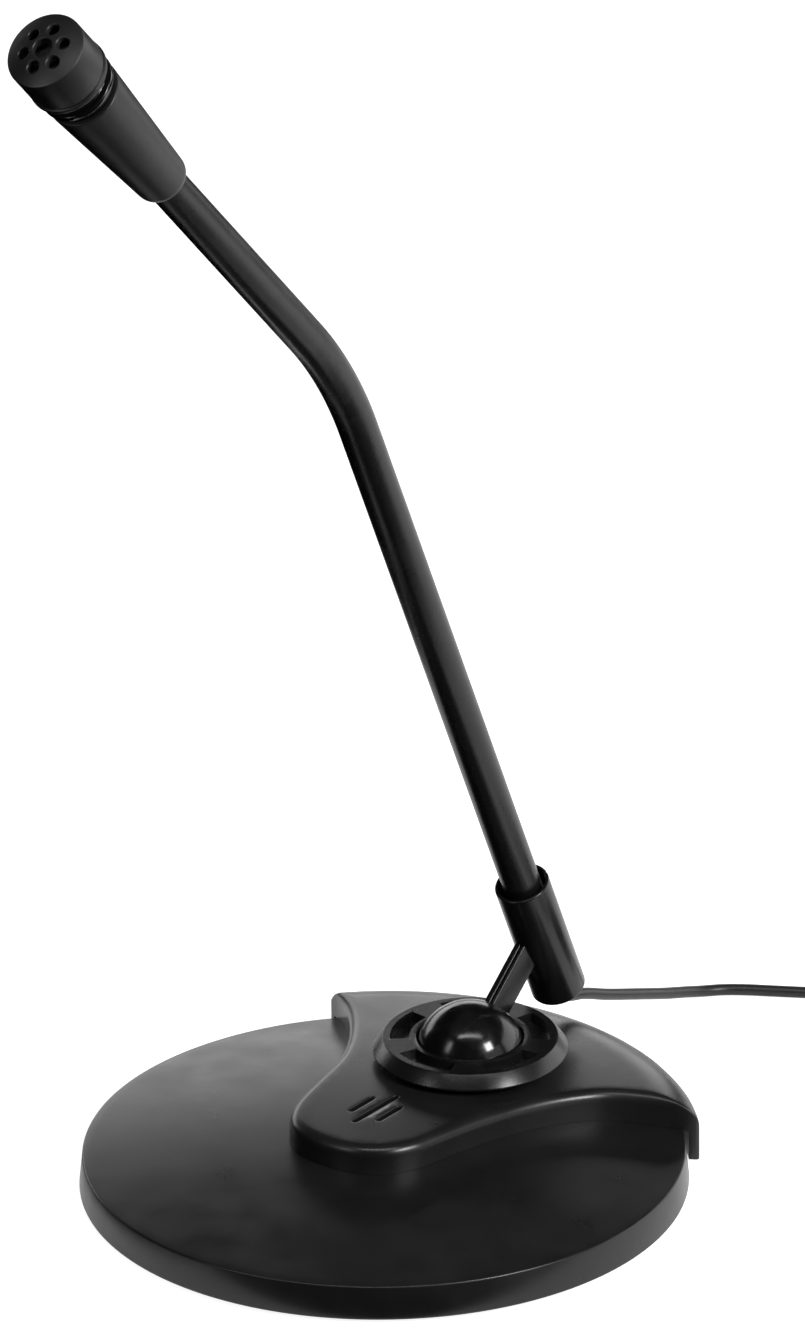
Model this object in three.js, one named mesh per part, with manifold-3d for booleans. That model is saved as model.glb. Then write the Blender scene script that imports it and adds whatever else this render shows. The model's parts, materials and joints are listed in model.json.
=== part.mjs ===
// Desktop gooseneck microphone: round weighted base, ball-jointed sleeve holder,
// sheathed gooseneck stem and a tapered condenser head, with its lead.
// Millimetres, +Z up. Origin: centre of the pad's underside. The front faces -Y.

import * as THREE from "three";
import { mergeVertices } from "three/addons/utils/BufferGeometryUtils.js";
import Module from "manifold-3d";

const wasm = await Module();
wasm.setup();

const { Vector2, Vector3 } = THREE;
const TURN = 2 * Math.PI;
const rad = THREE.MathUtils.degToRad;
const GAP = 0.3; // clearance between neighbouring pieces
const SLIP = 0.1; // clearance of pieces turned about one common axis

// Base
const BASE_R = 56; // rim radius at the bottom
const BAND_TOP_R = 55.5; // rim radius at the top of the side band
const BAND_Z = 0.6; // underside of the rim
const BAND_TOP_Z = 6.4;
const DOME_Z = 10.8; // height of the dome at the centre
const DOME_FALL = 0.00123; // drop of the dome per square millimetre of radius
const SHELL = 2; // wall thickness of the base shell
const PAD_R = 50;
const PAD_T = 1.2;
const PLATE_R = 53.2;
const PLATE_Z = 1.5;
const PLATE_T = 1.7;
const BOSS_RING = 41; // radius of the circle the screws stand on
const BOSS_R = 3;
const SCREW_R = 1.2;
const SCREW_HEAD_R = 2.7;
const SCREW_HEAD_T = 1.0;
const BALLAST_R = 34;
const BALLAST_T = 3.2;

// Deck cover
const DECK_Z = 16.1; // height of the deck's crown
const DECK_FALL = 0.00088;
const DECK_R = 58.3; // outer radius of the rear skirt
const DECK_WALL = 1.6;
const DECK_TOP_T = 1.8;
const SKIRT_Z = 1.2; // lower edge of the rear skirt
const REAR_ROLL = [9, 5]; // the top's roll over the rear rim, across and down
const TIP_Y = -17.5; // front of the tongue
const TIP_LEG = [[9, -17.5], [12.6, -13.4], [14.6, -7.5]]; // from the tongue's middle into either flank
const RIGHT_FLANK = [
  [[15.7, -2.5], [16.6, 4], [18.6, 11.2]],
  [[20.6, 18.6], [24, 26], [27.3, 30]],
  [[30.3, 33.7], [35.5, 36], [45, 41.8]],
];
const LEFT_FLANK = [
  [[15.9, -3.5], [17, 2], [18.5, 7.8]],
  [[20.2, 14.3], [24.5, 21.5], [29.8, 27.7]],
  [[33.3, 31.9], [37.5, 36.2], [44.8, 39.6]],
];
const SLOT_W = 1.0;
const SLOT_PITCH = 3.2;
const SLOT_LENGTHS = [7, 13, 7];
const SLOT_Y = -2.4;

// Ball joint
const BALL_Y = 26;
const BALL_Z = 15.9;
const BALL_R = 10.3;
const BALL_PLAY = 0.35; // clearance round the ball
const SEAT_R = 11.6; // outer radius of the ball seat
const SEAT_TOP = 12.7;
const NECK_LIP_Z = 12.5; // step of the ring's neck that snaps under the deck
const RING_TOP = 19.8;
const RING_UNDER = 17.1;
const RING_R = 18.1;
const RING_TOP_R = 16.2;
const NECK_R = 13.2; // neck of the ring, through the deck
const RECESSES = 5; // arc recesses on the ring's top
const RECESS_IN = 11.4;
const RECESS_OUT = 14.6;
const RECESS_SWEEP = 46;
const RECESS_DEPTH = 1.8;

// Holder: arm from the ball and the sleeve that grips the stem
const ARM_RISE = 40.5; // degrees above horizontal, towards the rear
const STEM_LEAN = 23.4; // degrees forward from vertical
const SLEEVE_FOOT = [0, 52.8, 19.5]; // centre of the sleeve's lower end
const SLEEVE_L = 27.7;
const SLEEVE_R = 5.15;
const SLEEVE_BORE_R = 4.45;
const SPIGOT_R = 1.6;
const SPIGOT_L = 5.5; // depth of the spigot in the ball
const ARM_SIDES = [-1.6, 1.4]; // left and right faces at the arm's underside
const ARM_RIGHT_EDGE = 0.65; // right face at the arm's upper edge
const ARM_GROOVE = [-0.35, 0.15]; // sides of the groove along the arm
const ARM_DEPTH = [-2.1, 0.3, 2.9]; // upper edge, floor of the groove, underside
const ARM_L = 27;
const SLIT_W = 0.8;
const SLIT_L = 12;
const SLIT_ANGLE = 148; // from the front, towards +X

// Stem and gooseneck
const STEM_R = 3.6;
const STEM_BORE_R = 1.7;
const STEM_FOOT = 2; // stem's lower end, above the sleeve's lower end
const LEAD_R = 1.1;
const CORNER_S = 158.5; // where the two straight lengths would meet
const BENDS = 5;
const BEND_STEP = 5.5; // distance between bend centres
const BEND_EACH = 3.76; // degrees at each bend
const LINK_BALL_R = 4.2;
const LINK_CUP_R = 4.5;
const HEAD_START = 70.9; // rear of the head beyond the corner
const STEM_IN_HEAD = 9;

// Head
const HEAD_L = 46.2; // from the rear end to the cap's rim
const HEAD_REAR_R = 4.8;
const HEAD_REAR_ROUND = [0.9, 1.7]; // rounding of the rear end, across and along
const SLEEVE_END_R = 6.75;
const HEAD_SLEEVE_L = 31.7;
const COLLAR_NECK_L = 6; // spigot of the collar inside the sleeve
const COLLAR_GROOVE_R = 5.9;
const COLLAR_RIDGE_R = 6.95;
const CAP_L = 9.2;
const CAP_R = 7.25;
const CAP_BEAD_R = 7.4;
const CAP_WALL = 1.0;
const CAP_CROWN = 1.2; // height of the domed face above the rim
const CAP_FACE_T = 1.2;
const HOLE_R = 1.1;
const HOLE_RING = 3.75;
const HOLES = 6;
const CENTRE_HOLE_R = 1.8;
const CAPSULE_R = 4.85;
const CAPSULE_L = 4.4;

// Lead, coil and plug
const CORD_R = 1.1;
const COIL_AT = [50, 105.2];
const COIL_IN = 12.3;
const COIL_OUT = 21.7;
const COIL_H = 8.8;
const PLUG_X = 70.6;
const PLUG_Z = 4.0;
const PLUG_REAR_Y = 86;
const BOOT_L = 8;
const GRIP_L = 18;
const GRIP_R = 4.0;
const JACK_R = 1.75;

// The lead where it isn't coiled: straight out of the stem, down, along the desk.
const CORD_ROUTE = [
  [0, 52.17, 20.96],
  [0, 52.8, 19.5],
  [0, 53.75, 17.6],
  [0, 56.0, 16.3],
  [0, 60.3, 15.0],
  [0, 67.5, 12.0],
  [0, 76.9, 8.4],
  [0, 86.5, 4.8],
  [0.1, 91.8, 3.0],
  [0.9, 96.2, 1.7],
  [3.0, 99.8, 1.2],
  [6.3, 102.5, 1.1],
  [10.8, 105.2, 1.1],
  [16.0, 108.3, 1.1],
  [22.9, 112.6, 1.1],
  [29.7, 116.8, 1.1],
];

function black(tone, roughness, metalness = 0) {
  return new THREE.MeshStandardMaterial({
    color: new THREE.Color(tone, tone, tone),
    roughness,
    metalness,
  });
}

const SATIN = [0.03, 0.55];
const MATTE = [0.025, 0.75];
const GLOSS = [0.01, 0.12];
const RUBBER = [0.02, 0.9];
const STEEL = [0.55, 0.35, 1];
const NICKEL = [0.7, 0.25, 1];

// A closed, outward-facing geometry with shared vertices.
function closed(geometry) {
  const bare = new THREE.BufferGeometry();
  bare.setAttribute("position", geometry.getAttribute("position").clone());
  if (geometry.index) bare.setIndex(geometry.index.clone());
  const merged = mergeVertices(bare, 1e-4);
  const place = merged.getAttribute("position");
  const kept = [];
  const [a, b, c] = [new Vector3(), new Vector3(), new Vector3()];
  let volume = 0;
  for (let i = 0; i < merged.index.count; i += 3) {
    const tri = [0, 1, 2].map((k) => merged.index.getX(i + k));
    if (new Set(tri).size < 3) continue;
    a.fromBufferAttribute(place, tri[0]);
    b.fromBufferAttribute(place, tri[1]);
    c.fromBufferAttribute(place, tri[2]);
    volume += a.dot(b.cross(c));
    kept.push(tri);
  }
  merged.setIndex((volume < 0 ? kept.map(([p, q, r]) => [p, r, q]) : kept).flat());
  return merged;
}

function toSolid(geometry) {
  const shape = closed(geometry);
  return new wasm.Manifold(
    new wasm.Mesh({
      numProp: 3,
      vertProperties: new Float32Array(shape.getAttribute("position").array),
      triVerts: new Uint32Array(shape.index.array),
    }),
  );
}

function fromSolid(solid) {
  const mesh = solid.getMesh();
  const geometry = new THREE.BufferGeometry();
  geometry.setAttribute("position", new THREE.BufferAttribute(mesh.vertProperties, 3));
  geometry.setIndex(new THREE.BufferAttribute(mesh.triVerts, 1));
  return geometry;
}

const cut = (body, ...tools) =>
  fromSolid(tools.reduce((left, tool) => left.subtract(toSolid(tool)), toSolid(body)));
const join = (body, ...more) =>
  fromSolid(more.reduce((left, part) => left.add(toSolid(part)), toSolid(body)));
const common = (body, other) => fromSolid(toSolid(body).intersect(toSolid(other)));

// A profile of [radius, height] pairs turned about Z.
function turned(profile, sides = 48) {
  const points = profile.map(([r, z]) => new Vector2(r, z));
  return closed(new THREE.LatheGeometry(points, sides).rotateX(Math.PI / 2));
}

// A profile that encloses a ring, turned about Z.
const turnedRing = (profile, sides) => turned([...profile, profile[0]], sides);

function rod(radius, z0, z1, sides = 24) {
  return turned([[0, z0], [radius, z0], [radius, z1], [0, z1]], sides);
}

// Points on a circle about [0, centre] in the profile plane, from one height to another.
function ballArc(radius, centre, z0, z1, steps) {
  const from = Math.asin((z0 - centre) / radius);
  const to = Math.asin((z1 - centre) / radius);
  return Array.from({ length: steps + 1 }, (_, i) => {
    const angle = from + ((to - from) * i) / steps;
    return [radius * Math.cos(angle), centre + radius * Math.sin(angle)];
  });
}

const domeHeight = (r) => DOME_Z - DOME_FALL * r * r;

function deckHeight(r) {
  const [across, down] = REAR_ROLL;
  const roll = Math.max(0, (r - DECK_R + across) / across);
  return DECK_Z - DECK_FALL * r * r - down * (1 - Math.sqrt(1 - roll * roll));
}

function radii(from, to, steps) {
  return Array.from({ length: steps + 1 }, (_, i) => from + ((to - from) * i) / steps);
}

function extruded(shape, z0, z1, curveSegments = 5) {
  const options = { depth: z1 - z0, bevelEnabled: false, curveSegments };
  return new THREE.ExtrudeGeometry(shape, options).translate(0, 0, z0);
}

function bossPlaces() {
  return [0, 1, 2, 3].map((i) => {
    const angle = TURN * (i / 4 + 1 / 8);
    return [BOSS_RING * Math.cos(angle), BOSS_RING * Math.sin(angle)];
  });
}

// Base shell: side band, dome, screw bosses, and the hole for the ball seat.
function baseCover() {
  const outer = radii(0, BAND_TOP_R - 1, 5).map((r) => [r, domeHeight(r)]);
  const inner = radii(BAND_TOP_R - SHELL, 0, 3).map((r) => [r, domeHeight(r) - SHELL]);
  const profile = [
    ...outer,
    [BAND_TOP_R, BAND_TOP_Z],
    [BASE_R, BAND_Z + 0.5],
    [BASE_R - 0.5, BAND_Z],
    [PLATE_R + GAP, BAND_Z],
    ...inner,
  ];
  let shell = turned(profile, 48);
  const bossTop = domeHeight(BOSS_RING) - SHELL + 0.8;
  const bossFoot = PLATE_Z + PLATE_T + GAP;
  for (const [x, y] of bossPlaces()) {
    const boss = rod(BOSS_R, bossFoot, bossTop, 12).translate(x, y, 0);
    const hole = rod(SCREW_R + GAP, bossFoot - 1, bossTop - 0.6, 8).translate(x, y, 0);
    shell = cut(join(shell, boss), hole);
  }
  return cut(shell, rod(SEAT_R + GAP, 0, DECK_Z, 24).translate(0, BALL_Y, 0));
}

// The deck's outline, pulled in by an inset: right flank, far corners, left flank.
function deckOutline(inset) {
  const flank = (legs, sign) => {
    const at = ([x, y]) => [sign * (x - inset), y + inset];
    const path = new THREE.Path();
    path.moveTo(0, TIP_Y + inset);
    for (const [p, q, r] of [TIP_LEG, ...legs]) path.bezierCurveTo(...at(p), ...at(q), ...at(r));
    return path.getPoints(5);
  };
  const far = BASE_R + 8;
  return new THREE.Shape([
    ...flank(RIGHT_FLANK, 1),
    new Vector2(far, 52),
    new Vector2(far, far),
    new Vector2(-far, far),
    new Vector2(-far, 50),
    ...flank(LEFT_FLANK, -1).slice(1).reverse(),
  ]);
}

function ventSlot(length, x) {
  const half = length / 2 - SLOT_W / 2;
  const shape = new THREE.Shape();
  shape.absarc(x, SLOT_Y + half, SLOT_W / 2, 0, Math.PI);
  shape.absarc(x, SLOT_Y - half, SLOT_W / 2, Math.PI, TURN);
  return extruded(shape, DECK_Z - 3, DECK_Z + 1, 3);
}

// Raised deck: an S-shaped tongue that widens into wings and wraps over the rear rim.
function deckCover() {
  const edge = DECK_R - REAR_ROLL[0];
  const rolled = [0, 25, 50, 70, 90].map((a) => edge + REAR_ROLL[0] * Math.sin(rad(a)));
  const crown = [...radii(0, edge - 8, 3), ...rolled].map((r) => [r, deckHeight(r)]);
  const outside = turned([...crown, [DECK_R, SKIRT_Z], [0, SKIRT_Z]], 48);
  const body = common(outside, extruded(deckOutline(0), 0, DECK_Z + 4));

  const underDome = radii(0, BAND_TOP_R, 5).map((r) => [r, domeHeight(r) + GAP]);
  const clear = [...underDome, [BASE_R + GAP, BAND_TOP_Z], [BASE_R + GAP, 0], [0, 0]];
  const inside = DECK_R - DECK_WALL * 2;
  const vault = radii(0, inside, 5).map((r) => [r, deckHeight(r) - DECK_TOP_T]);
  const hollow = turned([...vault, [inside, 1], [0, 1]], 48);
  const cavity = common(hollow, extruded(deckOutline(DECK_WALL), 0, DECK_Z + 4));
  const neckHole = rod(NECK_R + 0.4, 0, DECK_Z + 4, 24).translate(0, BALL_Y, 0);
  const slots = SLOT_LENGTHS.map((l, i) => ventSlot(l, (i - 1) * SLOT_PITCH));
  return cut(body, turned(clear, 48), cavity, neckHole, ...slots);
}

function bottomPlate() {
  const top = PLATE_Z + PLATE_T;
  let plate = rod(PLATE_R, PLATE_Z, top, 48);
  for (const [x, y] of bossPlaces()) {
    const hole = rod(SCREW_R + GAP, 0, top + 1, 8).translate(x, y, 0);
    const seat = rod(SCREW_HEAD_R + GAP, 0, PLATE_Z + SCREW_HEAD_T, 12).translate(x, y, 0);
    plate = cut(plate, hole, seat);
  }
  return plate;
}

function baseScrew() {
  const headTop = PLATE_Z + SCREW_HEAD_T - GAP + 0.2;
  const tip = domeHeight(BOSS_RING) - SHELL - 0.3;
  return turned(
    [[0, PLATE_Z], [SCREW_HEAD_R, PLATE_Z], [SCREW_HEAD_R, headTop - 0.1],
      [SCREW_R, headTop - 0.1], [SCREW_R, tip - 0.8], [0, tip]],
    8,
  );
}

function ballastWeight() {
  const foot = PLATE_Z + PLATE_T + GAP;
  const disc = rod(BALLAST_R, foot, foot + BALLAST_T, 32);
  return cut(disc, rod(SEAT_R + 0.4, 0, DECK_Z, 24).translate(0, BALL_Y, 0));
}

// Cup that carries the ball; it stands on the bottom plate.
function ballSeat() {
  const foot = PLATE_Z + PLATE_T + GAP;
  const inner = BALL_R + BALL_PLAY;
  const cup = ballArc(inner, BALL_Z, BALL_Z - inner, SEAT_TOP, 4);
  cup[0][0] = 0;
  return turned([[0, foot], [SEAT_R, foot], [SEAT_R, SEAT_TOP], ...cup.reverse()], 24);
}

function ringSector(inner, outer, from, sweep, z0, z1) {
  const shape = new THREE.Shape();
  shape.absarc(0, 0, outer, rad(from), rad(from + sweep), false);
  shape.absarc(0, 0, inner, rad(from + sweep), rad(from), true);
  return extruded(shape, z0, z1, 4);
}

// Turntable ring: it snaps through the deck, and its lip holds the ball down.
function swivelRing() {
  const inner = BALL_R + BALL_PLAY;
  const lip = ballArc(inner, BALL_Z, BALL_Z, RING_TOP - 0.6, 2);
  const profile = [
    [SEAT_R + GAP, NECK_LIP_Z - 1],
    [NECK_R + 1.3, NECK_LIP_Z - 1],
    [NECK_R + 1.3, NECK_LIP_Z],
    [NECK_R, NECK_LIP_Z],
    [NECK_R, RING_UNDER],
    [RING_R - 0.2, RING_UNDER],
    [RING_R, RING_UNDER + 0.3],
    [RING_TOP_R + 0.15, RING_TOP - 0.25],
    [RING_TOP_R - 0.2, RING_TOP],
    [BALL_R + 0.3, RING_TOP],
    ...lip.reverse(),
    [inner, SEAT_TOP + GAP],
    [SEAT_R + GAP, SEAT_TOP + GAP],
  ];
  const ring = turnedRing(profile, 40);
  const pitch = 360 / RECESSES;
  const floor = RING_TOP - RECESS_DEPTH;
  const recesses = Array.from({ length: RECESSES }, (_, i) =>
    ringSector(RECESS_IN, RECESS_OUT, 270 + i * pitch - RECESS_SWEEP / 2, RECESS_SWEEP,
      floor, RING_TOP + 1));
  return cut(ring, ...recesses);
}

// The ball, about its own centre, with the blind hole that takes the arm's spigot along +Z.
function ballBody() {
  const ball = turned(ballArc(BALL_R, 0, -BALL_R, BALL_R, 12).map(([r, z]) =>
    [Math.abs(z) > BALL_R - 1e-9 ? 0 : r, z]), 24);
  return cut(ball, rod(SPIGOT_R + GAP, BALL_R - SPIGOT_L - 0.5, BALL_R + 1, 12));
}

// Placement frames: the stem's lower axis, and the arm's axis from the ball.
function frameAt(place, forwardLean) {
  const frame = new THREE.Group();
  frame.position.set(...place);
  frame.rotation.x = rad(forwardLean);
  return frame;
}

function toFrame(geometry, frame) {
  frame.updateMatrix();
  return geometry.applyMatrix4(frame.matrix);
}

function fromFrame(geometry, frame) {
  frame.updateMatrix();
  return geometry.applyMatrix4(frame.matrix.clone().invert());
}

const ballFrame = () => frameAt([0, BALL_Y, BALL_Z], ARM_RISE - 90);
const stemFrame = () => frameAt(SLEEVE_FOOT, STEM_LEAN);

// Arm with two ribs and a groove between them, in the ball's frame: -Y faces up and forward.
function armBar() {
  const [left, right] = ARM_SIDES;
  const [top, floor, under] = ARM_DEPTH;
  const shape = new THREE.Shape();
  shape.moveTo(left, under);
  shape.lineTo(left, top);
  shape.lineTo(ARM_GROOVE[0], top);
  shape.lineTo(ARM_GROOVE[0], floor);
  shape.lineTo(ARM_GROOVE[1], floor);
  shape.lineTo(ARM_GROOVE[1], top);
  shape.lineTo(ARM_RIGHT_EDGE, top);
  shape.lineTo(right, under);
  shape.closePath();
  return extruded(shape, BALL_R - 1, ARM_L);
}

// Holder: arm, spigot and slit sleeve in one moulding, in the stem's frame.
function holder() {
  const stem = stemFrame();
  const ball = ballFrame();
  const bar = cut(armBar(), turned(ballArc(BALL_R + GAP, 0, -BALL_R - GAP, BALL_R + GAP, 16)
    .map(([r, z]) => [Math.abs(z) > BALL_R + GAP - 1e-9 ? 0 : r, z]), 32));
  const spigot = rod(SPIGOT_R, BALL_R - SPIGOT_L, BALL_R + 3, 12);
  const arm = fromFrame(toFrame(join(bar, spigot), ball), stem);
  const tube = rod(SLEEVE_R, 0, SLEEVE_L, 32);
  const bore = rod(SLEEVE_BORE_R, -20, SLEEVE_L + 20, 32);
  const slit = new THREE.BoxGeometry(SLIT_W, 4, SLIT_L).translate(0, -SLEEVE_R, SLEEVE_L);
  slit.rotateZ(rad(SLIT_ANGLE));
  return cut(join(tube, arm), bore, slit);
}

// Distances along the stem's lower axis to the first bend centre, and then from link to link.
const FIRST_BEND = CORNER_S - (BEND_STEP * (BENDS - 1)) / 2;

// Concave end that takes the next link, centred at a height.
function cupArc(centre) {
  const low = centre - Math.sqrt(LINK_CUP_R ** 2 - STEM_R ** 2);
  const deep = centre - Math.sqrt(LINK_CUP_R ** 2 - STEM_BORE_R ** 2);
  return ballArc(LINK_CUP_R, centre, low, deep, 3);
}

// Convex end of a link, from the bore out to the rim, centred at height 0.
function noseArc() {
  const deep = -Math.sqrt(LINK_BALL_R ** 2 - STEM_BORE_R ** 2);
  const low = -Math.sqrt(LINK_BALL_R ** 2 - STEM_R ** 2);
  return ballArc(LINK_BALL_R, 0, deep, low, 3);
}

const stemLower = () => turnedRing(
  [[STEM_BORE_R, STEM_FOOT], [STEM_R, STEM_FOOT], ...cupArc(FIRST_BEND)], 20);
const neckLink = () => turnedRing([...noseArc(), ...cupArc(BEND_STEP)], 20);

const upperStart = HEAD_START - (BEND_STEP * (BENDS - 1)) / 2; // last bend centre to the head
const stemUpper = () => turnedRing(
  [...noseArc(), [STEM_R, upperStart + STEM_IN_HEAD], [STEM_BORE_R, upperStart + STEM_IN_HEAD]],
  20);

const stemBush = () => turnedRing(
  [[STEM_R + SLIP, 3], [SLEEVE_BORE_R - SLIP, 3], [SLEEVE_BORE_R - SLIP, 17],
    [STEM_R + SLIP, 17]], 32);

// Head pieces, from the head's rear end forwards along +Z.
function headSleeve() {
  const taper = (z) => HEAD_REAR_R + ((SLEEVE_END_R - HEAD_REAR_R) * z) / HEAD_SLEEVE_L;
  const bore = STEM_R + 0.2;
  const [across, along] = HEAD_REAR_ROUND;
  const rounding = [0, 30, 60, 90].map((a) => {
    const z = along * (1 - Math.cos(rad(a)));
    return [taper(z) - across * (1 - Math.sin(rad(a))), z];
  });
  return turnedRing([
    [bore, 0.2],
    ...rounding,
    [SLEEVE_END_R, HEAD_SLEEVE_L],
    [COLLAR_GROOVE_R - 0.1, HEAD_SLEEVE_L],
    [COLLAR_GROOVE_R - 0.3, HEAD_SLEEVE_L - COLLAR_NECK_L - 1.5],
    [4.4, STEM_IN_HEAD + 2],
    [bore, STEM_IN_HEAD + 0.5],
  ], 28);
}

function grooveCollar() {
  const z = HEAD_SLEEVE_L + GAP;
  const capRear = HEAD_L - CAP_L - GAP;
  return turnedRing([
    [4.1, z - COLLAR_NECK_L],
    [COLLAR_GROOVE_R - 0.6, z - COLLAR_NECK_L],
    [COLLAR_GROOVE_R - 0.6, z],
    [COLLAR_GROOVE_R, z],
    [COLLAR_GROOVE_R, z + 1.6],
    [COLLAR_RIDGE_R, z + 1.9],
    [COLLAR_RIDGE_R, z + 2.7],
    [COLLAR_GROOVE_R, z + 3.0],
    [COLLAR_GROOVE_R, capRear + 1.6],
    [4.4, capRear + 1.6],
  ], 28);
}

function headCap() {
  const rear = HEAD_L - CAP_L;
  const crown = (r) => HEAD_L + CAP_CROWN * (1 - (r / CAP_R) ** 2);
  const bore = CAP_R - CAP_WALL;
  const cap = turned([
    ...radii(0, CAP_R - 0.5, 3).map((r) => [r, crown(r)]),
    [CAP_R - 0.1, HEAD_L - 0.15],
    [CAP_R, HEAD_L - 0.6],
    [CAP_R, rear + 1.0],
    [CAP_BEAD_R, rear + 0.8],
    [CAP_BEAD_R, rear + 0.2],
    [CAP_BEAD_R - 0.2, rear],
    [bore, rear],
    ...radii(bore, 0, 3).map((r) => [r, crown(r) - CAP_FACE_T]),
  ], 28);
  const drill = (radius, sides) => rod(radius, HEAD_L - CAP_FACE_T - 1, HEAD_L + CAP_CROWN + 1, sides);
  const holes = Array.from({ length: HOLES }, (_, i) => {
    const angle = (TURN * (i + 0.5)) / HOLES;
    return drill(HOLE_R, 10)
      .translate(HOLE_RING * Math.cos(angle), HOLE_RING * Math.sin(angle), 0);
  });
  return cut(cap, drill(CENTRE_HOLE_R, 12), ...holes);
}

const dustScreen = () => rod(CAP_R - CAP_WALL - 0.2, HEAD_L - 2.0, HEAD_L - 1.4, 24);
const capsuleFront = HEAD_L - 2.4;

function capsuleBoot() {
  const rear = capsuleFront - CAPSULE_L;
  return turnedRing([
    [CAPSULE_R + SLIP, rear], [CAP_R - CAP_WALL - 0.2, rear],
    [CAP_R - CAP_WALL - 0.2, capsuleFront], [CAPSULE_R + SLIP, capsuleFront],
  ], 24);
}

const micCapsule = () => rod(CAPSULE_R, capsuleFront - CAPSULE_L, capsuleFront, 24);

// Lead, coil and plug
class Polyline extends THREE.Curve {
  constructor(points) {
    super();
    this.spline = new THREE.CatmullRomCurve3(points.map((p) => new Vector3(...p)));
  }
  getPoint(t, target) {
    return this.spline.getPoint(t, target);
  }
}

function cordTube(points, steps) {
  const section = new THREE.Shape();
  for (let i = 0; i < 8; i++) {
    const angle = (TURN * (i + 0.5)) / 8;
    const corner = [CORD_R * Math.cos(angle), CORD_R * Math.sin(angle)];
    if (i) section.lineTo(...corner);
    else section.moveTo(...corner);
  }
  section.closePath();
  return new THREE.ExtrudeGeometry(section, { steps, extrudePath: new Polyline(points) });
}

const cordCoil = () => turnedRing([
  [COIL_IN + 2, 0], [COIL_OUT - 2, 0], [COIL_OUT, 2], [COIL_OUT, COIL_H - 2],
  [COIL_OUT - 2, COIL_H], [COIL_IN + 2, COIL_H], [COIL_IN, COIL_H - 2], [COIL_IN, 2],
], 24);

// Band laid over the coil, seen along the coil's turns.
function coilTie() {
  const reach = { in: COIL_IN - GAP, out: COIL_OUT + GAP, top: COIL_H + GAP };
  const band = 0.8;
  const shape = new THREE.Shape();
  shape.moveTo(reach.in - band, 0);
  shape.lineTo(reach.in, 0);
  shape.lineTo(reach.in, reach.top);
  shape.lineTo(reach.out, reach.top);
  shape.lineTo(reach.out, 0);
  shape.lineTo(reach.out + band, 0);
  shape.lineTo(reach.out + band, reach.top + band);
  shape.lineTo(reach.in - band, reach.top + band);
  shape.closePath();
  return extruded(shape, -1.5, 1.5).rotateX(Math.PI / 2);
}

// Plug pieces, from the boot's rear end forwards along +Z.
const plugBoot = () => turnedRing([
  [CORD_R + SLIP, 0.2], [1.9, 0], [2.2, 0.4], [2.9, BOOT_L - SLIP],
  [CORD_R + SLIP, BOOT_L - SLIP]], 20);
function plugGrip() {
  const end = BOOT_L + GRIP_L;
  return turned([
    [0, BOOT_L], [GRIP_R - 0.6, BOOT_L], [GRIP_R, BOOT_L + 0.8], [GRIP_R, end - 1.5],
    [GRIP_R - 0.6, end], [JACK_R + GAP, end], [0, end],
  ], 24);
}
const jackStart = BOOT_L + GRIP_L + SLIP;
const plugBarrel = () => rod(JACK_R, jackStart, jackStart + 8.4, 16);
const plugInsulator = () => rod(JACK_R - 0.05, jackStart + 8.5, jackStart + 9.1, 16);
const plugTip = () => turned([
  [0, jackStart + 9.2], [JACK_R, jackStart + 9.2], [JACK_R, jackStart + 10.6],
  [1.2, jackStart + 11.3], [JACK_R - 0.1, jackStart + 12.2], [0.7, jackStart + 13.9],
  [0, jackStart + 14],
], 16);

function piece(name, geometry, finish) {
  const mesh = new THREE.Mesh(closed(geometry), black(...finish));
  mesh.name = name;
  return mesh;
}

function moved(mesh, x, y, z = 0) {
  mesh.position.set(x, y, z);
  return mesh;
}

function baseGroup() {
  const group = new THREE.Group();
  group.add(
    piece("non_slip_pad", rod(PAD_R, 0, PAD_T, 48), RUBBER),
    piece("bottom_plate", bottomPlate(), SATIN),
    piece("ballast_weight", ballastWeight(), STEEL),
    piece("base_cover", baseCover(), MATTE),
    piece("deck_cover", deckCover(), MATTE),
    moved(piece("ball_seat", ballSeat(), SATIN), 0, BALL_Y),
    moved(piece("swivel_ring", swivelRing(), SATIN), 0, BALL_Y),
  );
  bossPlaces().forEach(([x, y], i) => {
    group.add(moved(piece(`base_screw_${i + 1}`, baseScrew(), STEEL), x, y));
  });
  return group;
}

function headGroup() {
  const group = new THREE.Group();
  const leadEnd = capsuleFront - CAPSULE_L - GAP;
  group.add(
    piece("head_sleeve", headSleeve(), SATIN),
    piece("groove_collar", grooveCollar(), GLOSS),
    piece("head_cap", headCap(), SATIN),
    piece("dust_screen", dustScreen(), MATTE),
    piece("capsule_boot", capsuleBoot(), RUBBER),
    piece("mic_capsule", micCapsule(), NICKEL),
    piece("lead_upper", rod(LEAD_R, 4.6 - upperStart, leadEnd, 10), RUBBER),
  );
  group.position.z = upperStart;
  return group;
}

// Gooseneck: each link stands on the one before it, turned forwards at its bend centre.
function stemGroup() {
  const stem = stemFrame();
  stem.add(
    piece("holder", holder(), SATIN),
    piece("stem_bush", stemBush(), RUBBER),
    piece("stem_lower", stemLower(), SATIN),
    piece("lead_lower", rod(LEAD_R, STEM_FOOT, FIRST_BEND - 4.6, 10), RUBBER),
  );
  let link = frameAt([0, 0, FIRST_BEND], BEND_EACH);
  stem.add(link);
  for (let i = 1; i < BENDS; i++) {
    link.add(piece(`neck_link_${i}`, neckLink(), SATIN));
    const next = frameAt([0, 0, BEND_STEP], BEND_EACH);
    link.add(next);
    link = next;
  }
  link.add(piece("stem_upper", stemUpper(), SATIN), headGroup());
  return stem;
}

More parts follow.
